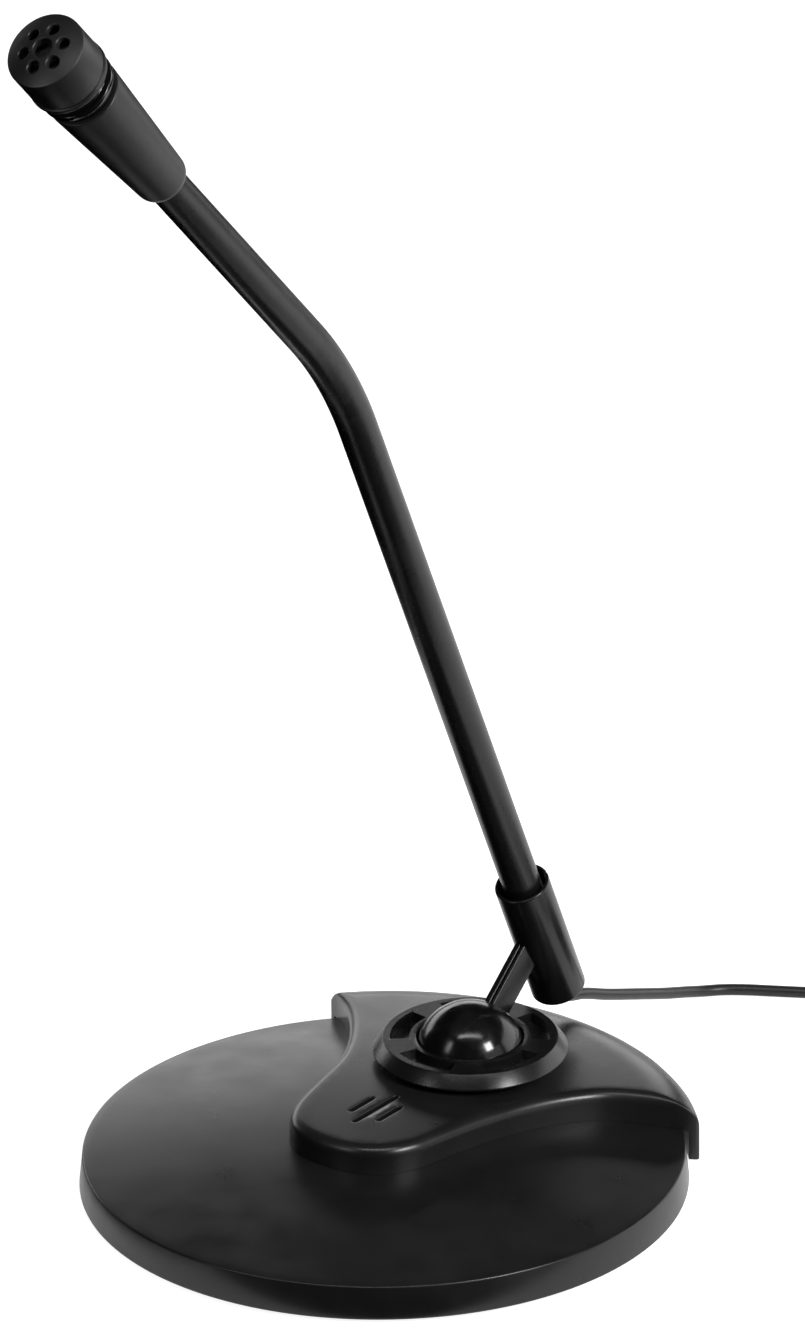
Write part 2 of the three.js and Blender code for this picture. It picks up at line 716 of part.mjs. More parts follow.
function leadGroup() {
  const group = new THREE.Group();
  const tie = piece("coil_tie", coilTie(), RUBBER);
  tie.position.set(...COIL_AT, 0);
  tie.rotation.z = rad(240);
  const coilEnd = [94.3, 90, PLUG_REAR_Y + GAP].map((y) => [PLUG_X, y, PLUG_Z]);
  group.add(
    piece("cord", cordTube(CORD_ROUTE, 40), RUBBER),
    moved(piece("cord_coil", cordCoil(), RUBBER), ...COIL_AT),
    tie,
    piece("cord_end", cordTube(coilEnd, 4), RUBBER),
  );
  const plug = frameAt([PLUG_X, PLUG_REAR_Y, PLUG_Z], 90);
  plug.add(
    piece("plug_boot", plugBoot(), RUBBER),
    piece("plug_grip", plugGrip(), SATIN),
    piece("plug_barrel", plugBarrel(), NICKEL),
    piece("plug_insulator", plugInsulator(), RUBBER),
    piece("plug_tip", plugTip(), NICKEL),
  );
  group.add(plug);
  return group;
}

const microphone = new THREE.Group();
const ball = ballFrame();
ball.add(piece("ball", ballBody(), GLOSS));
microphone.add(baseGroup(), ball, stemGroup(), leadGroup());

export default microphone;
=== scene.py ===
"""Looks of a desktop gooseneck microphone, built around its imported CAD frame."""

import json
import math

import bmesh
import bpy
import numpy as np
from mathutils import Matrix, Vector
from mathutils.geometry import delaunay_2d_cdt, interpolate_bezier


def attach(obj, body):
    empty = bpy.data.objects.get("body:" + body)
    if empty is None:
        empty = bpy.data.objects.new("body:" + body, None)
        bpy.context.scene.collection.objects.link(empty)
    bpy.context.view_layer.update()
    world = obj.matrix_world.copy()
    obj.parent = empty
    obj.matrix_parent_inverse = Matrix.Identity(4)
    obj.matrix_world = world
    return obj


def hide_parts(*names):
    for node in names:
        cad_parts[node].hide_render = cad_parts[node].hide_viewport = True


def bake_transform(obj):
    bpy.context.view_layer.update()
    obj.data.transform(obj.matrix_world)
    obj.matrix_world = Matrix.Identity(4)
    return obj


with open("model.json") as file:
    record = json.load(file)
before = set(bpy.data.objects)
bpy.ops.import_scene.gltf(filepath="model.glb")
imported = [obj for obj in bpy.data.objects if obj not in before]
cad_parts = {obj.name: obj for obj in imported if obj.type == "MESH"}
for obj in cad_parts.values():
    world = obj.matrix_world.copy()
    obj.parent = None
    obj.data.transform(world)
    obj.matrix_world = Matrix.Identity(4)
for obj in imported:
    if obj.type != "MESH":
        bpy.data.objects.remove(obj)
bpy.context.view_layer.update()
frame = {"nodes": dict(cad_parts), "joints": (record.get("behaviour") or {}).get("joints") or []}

MM = 0.001
TURN = 2 * math.pi
JOINTS = {j["name"]: j for j in frame["joints"]}


def joint_place(name):
    """A joint's centre in millimetres."""
    return Vector(JOINTS[name]["pos_m"]) / MM


# Sizes in millimetres.
BASE_R, BAND_TOP_R, BAND_Z = 56, 55.5, 0.6
DOME_Z, DOME_FALL, SHELL = 10.8, 0.00123, 2
DECK_Z, DECK_FALL, DECK_R, SKIRT_Z = 16.1, 0.00088, 58.3, 1.2
DECK_ROUND, END_ROUND, WING_ROUND = 2.0, 0.45, 0.6
REAR_ROLL = (9, 5)  # the deck's roll over the rear rim, across and down
TIP_LEG = [(0, -17.5), (9, -17.5), (12.6, -13.4), (14.6, -7.5)]
RIGHT_FLANK = [
    [(15.7, -2.5), (16.6, 4), (18.6, 11.2)],
    [(20.6, 18.6), (24, 26), (27.3, 30)],
    [(30.3, 33.7), (35.5, 36), (45, 41.8)],
]
LEFT_FLANK = [
    [(15.9, -3.5), (17, 2), (18.5, 7.8)],
    [(20.2, 14.3), (24.5, 21.5), (29.8, 27.7)],
    [(33.3, 31.9), (37.5, 36.2), (44.8, 39.6)],
]
SKIRT_INNER_R = BASE_R + 0.3
DECK_GAP = 0.04  # between the dome and the deck's underside
SLOT_W, SLOT_PITCH, SLOT_LENGTHS, SLOT_Y, SLOT_DEPTH = 1.0, 3.2, [7, 13, 7], -2.4, 3.0
SLOT_RIM = [(0.42, 0), (0.26, 0), (0.18, 0.05), (0.12, 0.16), (0.12, 0.35), (0.1, SLOT_DEPTH)]  # out, down
BALL = joint_place("tilt")
BALL_R = 10.3
RING_TOP, RING_UNDER, RING_R, RING_TOP_R, NECK_R = 19.8, 17.1, 18.1, 16.2, 13.2
RING_EDGE_R, NECK_LIP_Z, RING_PLAY = 15.95, 12.5, 0.4
SEAT_BORE_R, BALL_PLAY = 11.9, 0.35
BORE_FALL, BORE_EDGE = 0.06, (10.1, 10.5)  # the ring's top falls a little at its bore
RECESSES, RECESS_IN, RECESS_OUT, RECESS_SWEEP, RECESS_DEPTH = 5, 11.4, 14.6, 46, 1.8
RECESS_WALL = 0.22
RECESS_WALL_ARC = RECESS_WALL / (RECESS_IN + 1.6)  # the same width as an angle
ARM_RISE = math.radians(40.5)
ARM_IN_BALL, ARM_IN_SLEEVE = 0.9, 0.35
ARM_SECTION = [  # across, towards the underside, corner radius
    (-1.6, 2.9, 0.3), (-1.6, -2.1, 0.22), (-0.35, -2.1, 0.15), (-0.35, 0.3, 0.1), (0.15, 0.3, 0.1),
    (0.15, -2.1, 0.12), (0.65, -2.1, 0.15), (1.4, 2.9, 0.3),
]
SLEEVE_L, SLEEVE_R, SLEEVE_BORE_R = 27.7, 5.15, 4.45
SLIT_W, SLIT_L, SLIT_ANGLE = 0.8, 12, 148
STEM_R, STEM_WALL, STEM_FOOT, BEND_STEP = 3.6, 0.6, 2, 5.5
HEAD_REAR, STEM_IN_HEAD = 59.9, 9
HEAD_L, HEAD_SLEEVE_L, HEAD_REAR_R, SLEEVE_END_R = 46.2, 31.7, 4.8, 6.75
HEAD_REAR_ROUND = (0.9, 1.7)
GROOVE_R, RIDGE_R = 5.9, 6.95
CAP_L, CAP_R, CAP_BEAD_R, CAP_CROWN = 9.2, 7.25, 7.4, 1.2
HOLE_R, HOLE_RING, HOLES, CENTRE_HOLE_R = 1.1, 3.75, 6, 1.8
CAP_FACE_T = 1.1
HOLE_RIM = [(0.3, 0), (0.22, 0), (0.12, 0.06), (0.04, 0.16), (0, 0.32), (0, CAP_FACE_T)]  # out, down
CORD_R = 1.1
COIL_AT, COIL_LAYERS = Vector((50, 105.2)), 4
COIL_TURN_R = [20.6, 18.2, 15.8, 13.4]
TIE_IN, TIE_OUT, TIE_TOP, TIE_ROUND = 11.9, 22.1, 9.2, 1.6
TIE_TURN = math.radians(240)
TIE_SECTION = [(0, 1.3), (0.35, 1.5), (0.7, 1.3), (0.7, -1.3), (0.35, -1.5), (0, -1.3)]  # out, across
PLUG_X, PLUG_Z, PLUG_REAR_Y = 70.6, 4.0, 86
BOOT_L, GRIP_L, GRIP_R, JACK_R = 8, 18, 4.0, 1.75
GRIP_END = BOOT_L + GRIP_L
JACK_Z = GRIP_END + 0.1


# ---------------------------------------------------------------- camera, floor and lights
VIEW_TURN = math.radians(38.3)  # from the microphone's front, towards +X
VIEW_PITCH = math.radians(24.556)
VIEW_ROLL = -0.0116819
VIEW_FROM = Vector((1.2747, -1.6069, 1.0407))
LENS, SENSOR = 336.97, 36

RIGHT = Vector((math.cos(VIEW_TURN), math.sin(VIEW_TURN), 0))
AWAY = Vector((-math.sin(VIEW_TURN), math.cos(VIEW_TURN), 0))
UP = Vector((0, 0, 1))


def make_camera():
    """A long lens above and to the right of the microphone's front."""
    forward = AWAY * math.cos(VIEW_PITCH) - UP * math.sin(VIEW_PITCH)
    level_up = AWAY * math.sin(VIEW_PITCH) + UP * math.cos(VIEW_PITCH)
    right = RIGHT * math.cos(VIEW_ROLL) + level_up * math.sin(VIEW_ROLL)
    up = level_up * math.cos(VIEW_ROLL) - RIGHT * math.sin(VIEW_ROLL)
    data = bpy.data.cameras.new("camera")
    data.sensor_width = SENSOR
    data.lens = LENS
    data.clip_start, data.clip_end = 0.05, 60
    camera = bpy.data.objects.new("camera", data)
    turn = Matrix((right, up, -forward)).transposed().to_4x4()
    camera.matrix_world = Matrix.Translation(VIEW_FROM) @ turn
    bpy.context.scene.collection.objects.link(camera)
    bpy.context.scene.camera = camera


def area_light(name, place, size, power, spread=180):
    """A soft panel that faces the microphone."""
    data = bpy.data.lights.new(name, "AREA")
    data.shape = "RECTANGLE"
    data.size, data.size_y = size
    data.energy = power
    data.spread = math.radians(spread)
    light = bpy.data.objects.new(name, data)
    light.location = place
    aim = Vector((0, 0, 0.08)) - Vector(place)
    light.rotation_mode = "QUATERNION"
    light.rotation_quaternion = aim.to_track_quat("-Z", "Y")
    bpy.context.scene.collection.objects.link(light)
    return light


def studio():
    """A plain pale world and the soft panels round the microphone."""
    scene = bpy.context.scene
    scene.view_settings.view_transform = "Standard"
    world = bpy.data.worlds.new("studio")
    world.use_nodes = True
    world.node_tree.nodes["Background"].inputs["Color"].default_value = (0.9, 0.9, 0.9, 1)
    world.node_tree.nodes["Background"].inputs["Strength"].default_value = 1.0
    scene.world = world
    world.cycles_visibility.diffuse = False
    world.cycles_visibility.glossy = False
    centre = Vector((0, 0, 0.1))
    area_light("backdrop", centre + AWAY * 1.6 - RIGHT * 0.5 + UP * 0.32, (2.4, 0.5), 9)
    area_light("side_wall", centre + RIGHT * 1.3 + AWAY * 0.55 + UP * 0.3, (1.5, 0.7), 6)
    area_light("side_front", centre + RIGHT * 1.15 - AWAY * 0.85 + UP * 0.25, (1.1, 0.8), 2)
    area_light("key", centre + Vector((0.862, -0.042, 0.515)) * 1.1, (0.3, 0.3), 7.5)
    area_light("front_strip", centre + Vector((-0.263, -0.839, 0.476)) * 1.1, (0.14, 0.4), 1)
    area_light("top_strip", centre - AWAY * 0.55 + UP * 1.15, (1.1, 0.12), 4)
    area_light("overhead", centre + UP * 1.9, (2.4, 2.4), 1)


def flat_stage(name, corners, height, glow):
    """A pale glowing sheet on the desk."""
    mesh = bpy.data.meshes.new(name)
    mesh.from_pydata([(p.x, p.y, height) for p in corners], [], [range(len(corners))])
    paint = bpy.data.materials.new(name)
    paint.use_nodes = True
    shader = paint.node_tree.nodes["Principled BSDF"]
    shader.inputs["Base Color"].default_value = (0.86, 0.86, 0.86, 1)
    shader.inputs["Roughness"].default_value = 0.9
    shader.inputs["Specular IOR Level"].default_value = 0.1
    shader.inputs["Emission Color"].default_value = (1, 1, 1, 1)
    shader.inputs["Emission Strength"].default_value = glow
    mesh.materials.append(paint)
    sheet = bpy.data.objects.new(name, mesh)
    bpy.context.scene.collection.objects.link(sheet)
    sheet.visible_diffuse = False
    return sheet


def stage_floor():
    """A pale floor, and a bounce sheet beside and behind the microphone."""
    rim = [Vector((math.cos(t), math.sin(t))) * 14 for t in np.linspace(0, TURN, 96, endpoint=False)]
    flat_stage("floor", rim, -0.0003, 0.9).visible_glossy = False
    corners = [RIGHT * x + AWAY * y for x, y in ((-0.064, -0.058), (0.7, -0.058), (0.7, 0.8), (-0.064, 0.8))]
    bounce = flat_stage("bounce_sheet", corners, -0.0002, 0.5)
    bounce.visible_camera = bounce.visible_shadow = False


# ---------------------------------------------------------------- materials
class Surface:
    """A procedural material: fine grain in the bump, broad drift in roughness, paler edges."""

    def __init__(self, name, tone, roughness, metallic=0.0):
        self.material = bpy.data.materials.new(name)
        self.material.use_nodes = True
        self.tree = self.material.node_tree
        self.shader = self.tree.nodes["Principled BSDF"]
        self.shader.inputs["Metallic"].default_value = metallic
        self.tone = tone
        self.roughness = roughness
        self.place = self.node("ShaderNodeTexCoord").outputs["Object"]
        self.height = None

    def node(self, kind, **settings):
        """A new node, with its sockets or its own settings filled in."""
        made = self.tree.nodes.new(kind)
        for key, value in settings.items():
            if key in made.inputs:
                made.inputs[key].default_value = value
            else:
                setattr(made, key, value)
        return made

    def link(self, source, target):
        """Joins one socket to another."""
        self.tree.links.new(source, target)

    def noise(self, size_mm, detail=2.0, stretch=None):
        """Noise of that size in object space, drawn out along an axis if stretched."""
        texture = self.node("ShaderNodeTexNoise", Scale=1 / (size_mm * MM), Detail=detail)
        if stretch is None:
            self.link(self.place, texture.inputs["Vector"])
        else:
            mapping = self.node("ShaderNodeMapping", Scale=stretch)
            self.link(self.place, mapping.inputs["Vector"])
            self.link(mapping.outputs["Vector"], texture.inputs["Vector"])
        return texture.outputs["Fac"]

    def spread(self, value, low, high, start=0.3, end=0.7):
        """value from 0..1 mapped to low..high."""
        ramp = self.node("ShaderNodeMapRange")
        self.link(value, ramp.inputs["Value"])
        for key, number in (("From Min", start), ("From Max", end), ("To Min", low), ("To Max", high)):
            ramp.inputs[key].default_value = number
        return ramp.outputs["Result"]

    def bump(self, height, depth_mm, strength=1.0):
        """Adds a relief of that depth on top of what is there."""
        bump = self.node("ShaderNodeBump", Strength=strength, Distance=depth_mm * MM)
        self.link(height, bump.inputs["Height"])
        if self.height is not None:
            self.link(self.height, bump.inputs["Normal"])
        self.height = bump.outputs["Normal"]

    def finish(self, drift=0.12, drift_mm=9, edge=0.35, edge_tone=2.2):
        """Colour and roughness that drift over the surface, with edges rubbed paler and smoother."""
        broad = self.noise(drift_mm, 3)
        rough = self.spread(broad, self.roughness * (1 - drift), self.roughness * (1 + drift))
        self.link(rough, self.shader.inputs["Roughness"])
        wear = self.node("ShaderNodeNewGeometry").outputs["Pointiness"]
        worn = self.spread(wear, 0, edge, 0.52, 0.6)
        mix = self.node("ShaderNodeMix", data_type="RGBA")
        paler = [min(1, channel * edge_tone) for channel in self.tone]
        mix.inputs["A"].default_value = (*self.tone, 1)
        mix.inputs["B"].default_value = (*paler, 1)
        self.link(worn, mix.inputs["Factor"])
        cloud = self.node("ShaderNodeMix", data_type="RGBA", blend_type="MULTIPLY")
        cloud.inputs["Factor"].default_value = 1
        grey = self.spread(broad, 0.88, 1.12)
        self.link(mix.outputs["Result"], cloud.inputs["A"])
        self.link(grey, cloud.inputs["B"])
        self.link(cloud.outputs["Result"], self.shader.inputs["Base Color"])
        if self.height is not None:
            self.link(self.height, self.shader.inputs["Normal"])
        return self.material


def moulded(name, tone, roughness, grain_mm=0.16, depth_mm=0.006):
    """Spark-eroded moulded plastic."""
    surface = Surface(name, (tone, tone, tone * 1.03), roughness)
    surface.bump(surface.noise(grain_mm, 3), depth_mm)
    surface.bump(surface.noise(2.5, 2), depth_mm * 2)
    return surface.finish()


def polished(name, tone, roughness, coat):
    """Gloss plastic with a thin clear coat and a faint waviness."""
    surface = Surface(name, (tone, tone, tone * 1.05), roughness)
    surface.bump(surface.noise(6, 2), 0.006)
    surface.shader.inputs["Coat Weight"].default_value = coat
    surface.shader.inputs["Coat Roughness"].default_value = 0.03
    return surface.finish(drift=0.4, drift_mm=3)


def rubber(name, tone, roughness=0.6, grain_mm=0.25, depth_mm=0.012):
    """Matt rubber or a soft PVC jacket."""
    surface = Surface(name, (tone, tone, tone), roughness)
    surface.bump(surface.noise(grain_mm, 4), depth_mm)
    return surface.finish(drift=0.2, edge=0.5)


def plated(name, tone, roughness, brush=(1, 1, 14)):
    """Bright metal with fine marks along one axis."""
    surface = Surface(name, (tone, tone * 0.99, tone * 0.96), roughness, metallic=1)
    surface.bump(surface.noise(0.4, 4, brush), 0.003)
    return surface.finish(drift=0.3, drift_mm=2, edge=0.2, edge_tone=1.15)


def screen_cloth(name, tone):
    """Fine woven cloth: two crossing sets of threads."""
    surface = Surface(name, (tone, tone, tone), 0.85)
    weave = []
    for stretch in ((0.05, 1, 1), (1, 0.05, 0.05)):
        weave.append(surface.noise(0.3, 1, stretch))
    both = surface.node("ShaderNodeMath", operation="MULTIPLY")
    surface.link(weave[0], both.inputs[0])
    surface.link(weave[1], both.inputs[1])
    surface.bump(both.outputs["Value"], 0.05)
    return surface.finish(edge=0.1)


BASE_PLASTIC = moulded("base_plastic", 0.012, 0.31)
DECK_PLASTIC = moulded("deck_plastic", 0.013, 0.3)
RING_PLASTIC = moulded("ring_plastic", 0.008, 0.27, 0.2, 0.008)
BALL_GLOSS = polished("ball_gloss", 0.006, 0.19, 0.05)
HOLDER_PLASTIC = moulded("holder_plastic", 0.007, 0.23, 0.3, 0.006)
SHEATH = moulded("stem_sheath", 0.008, 0.27, 0.4, 0.005)
HEAD_PAINT = moulded("head_paint", 0.019, 0.38, 0.22, 0.01)
COLLAR_GLOSS = polished("collar_gloss", 0.006, 0.13, 0.4)
CORD_JACKET = rubber("cord_jacket", 0.026, 0.38, 0.5, 0.01)
SOFT_BLACK = rubber("soft_black", 0.02, 0.75)
PLUG_PLASTIC = moulded("plug_plastic", 0.02, 0.4)
NICKEL = plated("nickel", 0.75, 0.18)
STEEL = plated("steel", 0.5, 0.35, (8, 8, 1))
SCREEN = screen_cloth("screen_cloth", 0.012)


# ---------------------------------------------------------------- mesh tools
def add_piece(name, bm, material, smooth_angle=34):
    """Turns a bmesh in millimetres into an object in metres, faces out."""
    bmesh.ops.remove_doubles(bm, verts=bm.verts, dist=0.002)
    bmesh.ops.recalc_face_normals(bm, faces=bm.faces)
    bmesh.ops.scale(bm, vec=(MM, MM, MM), verts=bm.verts)
    mesh = bpy.data.meshes.new(name)
    bm.to_mesh(mesh)
    bm.free()
    mesh.shade_smooth()
    mesh.set_sharp_from_angle(angle=math.radians(smooth_angle))
    mesh.materials.append(material)
    piece = bpy.data.objects.new(name, mesh)
    bpy.context.scene.collection.objects.link(piece)
    return piece


def settle(piece, body, slot, *nodes):
    """Puts a finished piece on its body and hides the CAD nodes it stands for; the slot argument is not used.
    """
    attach(piece, body)
    if nodes:
        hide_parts(*nodes)
    return piece


def rounded(corners, steps=5):
    """A line through (x, y, radius) corners, with each corner turned into an arc."""
    line = []
    for i, (x, y, radius) in enumerate(corners):
        here = Vector((x, y))
        if radius <= 0 or i in (0, len(corners) - 1):
            line.append(here)
            continue
        before = Vector(corners[i - 1][:2]) - here
        after = Vector(corners[i + 1][:2]) - here
        bend = math.pi - before.angle(after)
        if bend < 0.01:
            line.append(here)
            continue
        reach = min(radius * math.tan(bend / 2), before.length * 0.5, after.length * 0.5)
        start, end = here + before.normalized() * reach, here + after.normalized() * reach
        middle = (before.normalized() + after.normalized()).normalized()
        radius = reach / math.tan(bend / 2)
        centre = here + middle * (radius / math.cos(bend / 2))
        a, b = start - centre, end - centre
        for k in range(steps + 1):
            turn = a.angle_signed(b) * k / steps
            line.append(centre + Matrix.Rotation(-turn, 2) @ a)
    return line


def lathe(bm, profile, place=Matrix.Identity(4), steps=96):
    """Turns (radius, height) points about the frame's Z. A point on the axis is one vertex."""
    rows = []
    for r, z in profile:
        if r < 1e-6:
            rows.append([bm.verts.new(place @ Vector((0, 0, z)))] * steps)
            continue
        rows.append([
            bm.verts.new(place @ Vector((r * math.cos(TURN * i / steps), r * math.sin(TURN * i / steps), z)))
            for i in range(steps)
        ])
    for low, high in zip(rows, rows[1:]):
        bridge(bm, low, high)
    return rows


def bridge(bm, low, high, closed=True):
    """Faces between two rows of vertices; a row may be one vertex repeated."""
    count = len(low)
    for i in range(count if closed else count - 1):
        j = (i + 1) % count
        corners = []
        for vert in (low[i], low[j], high[j], high[i]):
            if vert not in corners:
                corners.append(vert)
        if len(corners) > 2:
            bm.faces.new(corners)


def turned(name, profile, material, place=Matrix.Identity(4), steps=96, smooth_angle=34):
    """A piece made by turning a profile."""
    bm = bmesh.new()
    lathe(bm, profile, place, steps)
    return add_piece(name, bm, material, smooth_angle)


def inside(points, loop):
    """Which points lie inside a closed 2-D loop."""
    x, y = points[:, 0], points[:, 1]
    found = np.zeros(len(points), bool)
    for (x1, y1), (x2, y2) in zip(loop, np.roll(loop, -1, axis=0)):
        crosses = (y1 > y) != (y2 > y)
        with np.errstate(divide="ignore", invalid="ignore"):
            at = (x2 - x1) * (y - y1) / (y2 - y1) + x1
        found ^= crosses & (x < at)
    return found


def fill(bm, loops, height, spacing, place=Matrix.Identity(4)):
    """A surface z = height(x, y) between an outer loop of vertices and the holes in it."""
    back = place.inverted()
    flat = [[(back @ v.co).to_2d() for v in loop] for loop in loops]
    rims = [np.array([tuple(p) for p in loop]) for loop in flat]
    low, high = rims[0].min(0), rims[0].max(0)
    grid = []
    rows = int((high[1] - low[1]) / (spacing * 0.87)) + 2
    for row in range(rows):
        shift = spacing / 2 * (row % 2)
        for x in np.arange(low[0] + shift, high[0], spacing):
            grid.append((x, low[1] + row * spacing * 0.87))
    grid = np.array(grid)
    keep = inside(grid, rims[0])
    for rim in rims[1:]:
        keep &= ~inside(grid, rim)
    grid = grid[keep]
    edge = np.concatenate(rims)
    near = np.sqrt(((grid[:, None, :] - edge[None, :, :]) ** 2).sum(2)).min(1)
    grid = grid[near > spacing * 0.55]
    verts, points, edges = [], [], []
    for loop, line in zip(loops, flat):
        start = len(points)
        verts += loop
        points += line
        edges += [(start + i, start + (i + 1) % len(line)) for i in range(len(line))]
    for x, y in grid:
        verts.append(bm.verts.new(place @ Vector((x, y, height(x, y)))))
        points.append(Vector((x, y)))
    out, _, triangles, origin, _, _ = delaunay_2d_cdt(points, edges, [], 0, 1e-6)
    middles = np.array([sum((out[k] for k in t), Vector((0, 0))) / 3 for t in triangles])
    wanted = inside(middles, rims[0])
    for rim in rims[1:]:
        wanted &= ~inside(middles, rim)
    for triangle, good in zip(triangles, wanted):
        if good:
            bm.faces.new([verts[origin[k][0]] for k in triangle])


def inward(loop):
    """Unit normals of a closed loop that runs anticlockwise, pointing inwards."""
    normals = []
    for i, point in enumerate(loop):
        along = (loop[(i + 1) % len(loop)] - point).normalized() + (point - loop[i - 1]).normalized()
        normals.append(Vector((-along.y, along.x)).normalized())
    return normals


def even(line, spacing):
    """The same open line with its points spaced evenly."""
    lengths = [0]
    for a, b in zip(line, line[1:]):
        lengths.append(lengths[-1] + (b - a).length)
    count = max(2, round(lengths[-1] / spacing))
    out, k = [], 0
    for i in range(count + 1):
        at = lengths[-1] * i / count
        while k < len(lengths) - 2 and lengths[k + 1] < at:
            k += 1
        share = (at - lengths[k]) / max(1e-9, lengths[k + 1] - lengths[k])
        out.append(line[k].lerp(line[k + 1], min(1, share)))
    return out


def frame_at(place, lean):
    """A frame whose Z leans forward, towards -Y, by that angle."""
    return Matrix.Translation(place) @ Matrix.Rotation(lean, 4, "X")


# ---------------------------------------------------------------- base
def dome(x, y):
    """Height of the base shell's domed top."""
    return DOME_Z - DOME_FALL * (x * x + y * y)


def deck(x, y):
    """Height of the deck's top, with its roll over the rear rim."""
    across, down = REAR_ROLL
    roll = min(1, max(0, (math.hypot(x, y) - DECK_R + across) / across))
    return DECK_Z - DECK_FALL * (x * x + y * y) - down * (1 - math.sqrt(1 - roll * roll))


def deck_round(point):
    """Radius of the deck's edge: soft along the flanks, tight at the ends of the wings."""
    return DECK_ROUND + (END_ROUND - DECK_ROUND) * ease(point.length, 49, 56.5)


def ease(value, start, end):
    """0 before start, 1 after end, and a smooth rise between them."""
    t = min(1, max(0, (value - start) / (end - start)))
    return t * t * (3 - 2 * t)


def base_shell():
    """The round shell under the deck, with its band and hollow underside."""
    steps = 28
    edge = BAND_TOP_R - 0.2
    crown = [(edge * i / steps, dome(edge * i / steps, 0), 0) for i in range(steps + 1)]
    crown[-1] = (edge, dome(edge, 0), 0.45)
    rim = [
        (BASE_R, BAND_Z, 0.45),
        (BASE_R - SHELL, BAND_Z, 0.3),
        (BASE_R - SHELL - 0.3, dome(BASE_R - SHELL, 0) - SHELL, 1.0),
        (0, DOME_Z - SHELL, 0),
    ]
    return settle(turned("base_shell", rounded(crown + rim), BASE_PLASTIC, steps=192),
                  "base", "base_plastic", "base_cover")


def pad():
    """The non-slip pad, with rings moulded into its underside."""
    ribs = []
    for i in range(12):
        r = 49.2 - i * 3.6
        ribs += [(r, 0, 0.25), (r - 2.2, 0, 0.25), (r - 2.4, 0.35, 0), (r - 3.4, 0.35, 0)]
    profile = [(0, 1.2, 0), (50, 1.2, 0), (50, 0, 0.4), *ribs, (0, 0.35, 0)]
    return settle(turned("foot_pad", rounded(profile, 3), SOFT_BLACK, steps=128),
                  "base", "soft_black", "non_slip_pad")


def wing_curve(flank):
    """One edge of the deck, drawn to the right, from the front of the tongue to the rim."""
    line, start = [], TIP_LEG[0]
    for leg in [TIP_LEG[1:], *flank]:
        points = interpolate_bezier(*[Vector((*p, 0)) for p in [start, *leg]], 24)
        line += [p.to_2d() for p in points[1 if line else 0:]]
        start = leg[-1]
    return [p for p in line if p.length < DECK_R]


def half_outline(flank):
    """Half of the deck's outline, anticlockwise from the front, with its wing corner rounded."""
    edge = wing_curve(flank)
    along = (edge[-1] - edge[-2]).normalized()
    left = Vector((-along.y, along.x))
    beside = edge[-1] + left * WING_ROUND
    middle = beside.dot(along)
    reach = math.sqrt(middle ** 2 - beside.length_squared + (DECK_R - WING_ROUND) ** 2) - middle
    centre = beside + along * reach
    start, stop = centre - left * WING_ROUND, centre.normalized() * DECK_R
    edge = [p for p in edge if (p - start).dot(along) < -0.2]
    first, sweep = start - centre, (start - centre).angle(stop - centre)
    bow = [centre + Matrix.Rotation(sweep * k / 12, 2) @ first for k in range(13)]
    rear_from = math.atan2(stop.y, stop.x)
    rear = [Vector((math.cos(t), math.sin(t))) * DECK_R for t in np.linspace(rear_from, math.pi / 2, 60)]
    return even([*edge, start], 0.9)[:-1] + bow[:-1] + rear


def deck_outline():
    """The deck's whole outline, anticlockwise from the front."""
    left = half_outline(LEFT_FLANK)
    return half_outline(RIGHT_FLANK) + [Vector((-p.x, p.y)) for p in reversed(left[1:-1])]


def split_at_radius(loop, radius):
    """(point, inward normal) pairs, with a close pair added where the loop crosses a circle."""
    out = []
    pairs = list(zip(loop, inward(loop)))
    for i, (point, normal) in enumerate(pairs):
        ahead, next_normal = pairs[(i + 1) % len(pairs)]
        out.append((point, normal))
        near, far = point.length - radius, ahead.length - radius
        if near * far < 0:
            for share in (near / (near - far) - 0.01, near / (near - far) + 0.01):
                out.append((point.lerp(ahead, share), normal.lerp(next_normal, share)))
    return out


def slot_loop(x, length, grow):
    """A vent slot's outline, with round ends, anticlockwise."""
    half, radius = (length - SLOT_W) / 2, SLOT_W / 2 + grow
    loop = []
    for side in (1, -1):
        for k in range(9):
            turn = math.pi * (k / 8 + (0 if side > 0 else 1))
            loop.append(Vector((x + radius * math.cos(turn), SLOT_Y + side * half + radius * math.sin(turn))))
    return loop


def ring_hole():
    """The hole in the deck round the ring's neck."""
    radius = NECK_R + RING_PLAY
    return [BALL.to_2d() + Vector((math.cos(t), math.sin(t))) * radius
            for t in np.linspace(0, TURN, 64, endpoint=False)]


def lay(bm, loop, height, drop=0.0):
    """A loop of vertices laid on a surface, or that far below it."""
    return [bm.verts.new((p.x, p.y, height(p.x, p.y) - drop)) for p in loop]


def deck_under(x, y):
    """Height of the deck's lower edge: on the dome, or under the rear skirt."""
    return SKIRT_Z if math.hypot(x, y) > SKIRT_INNER_R else dome(x, y) + DECK_GAP


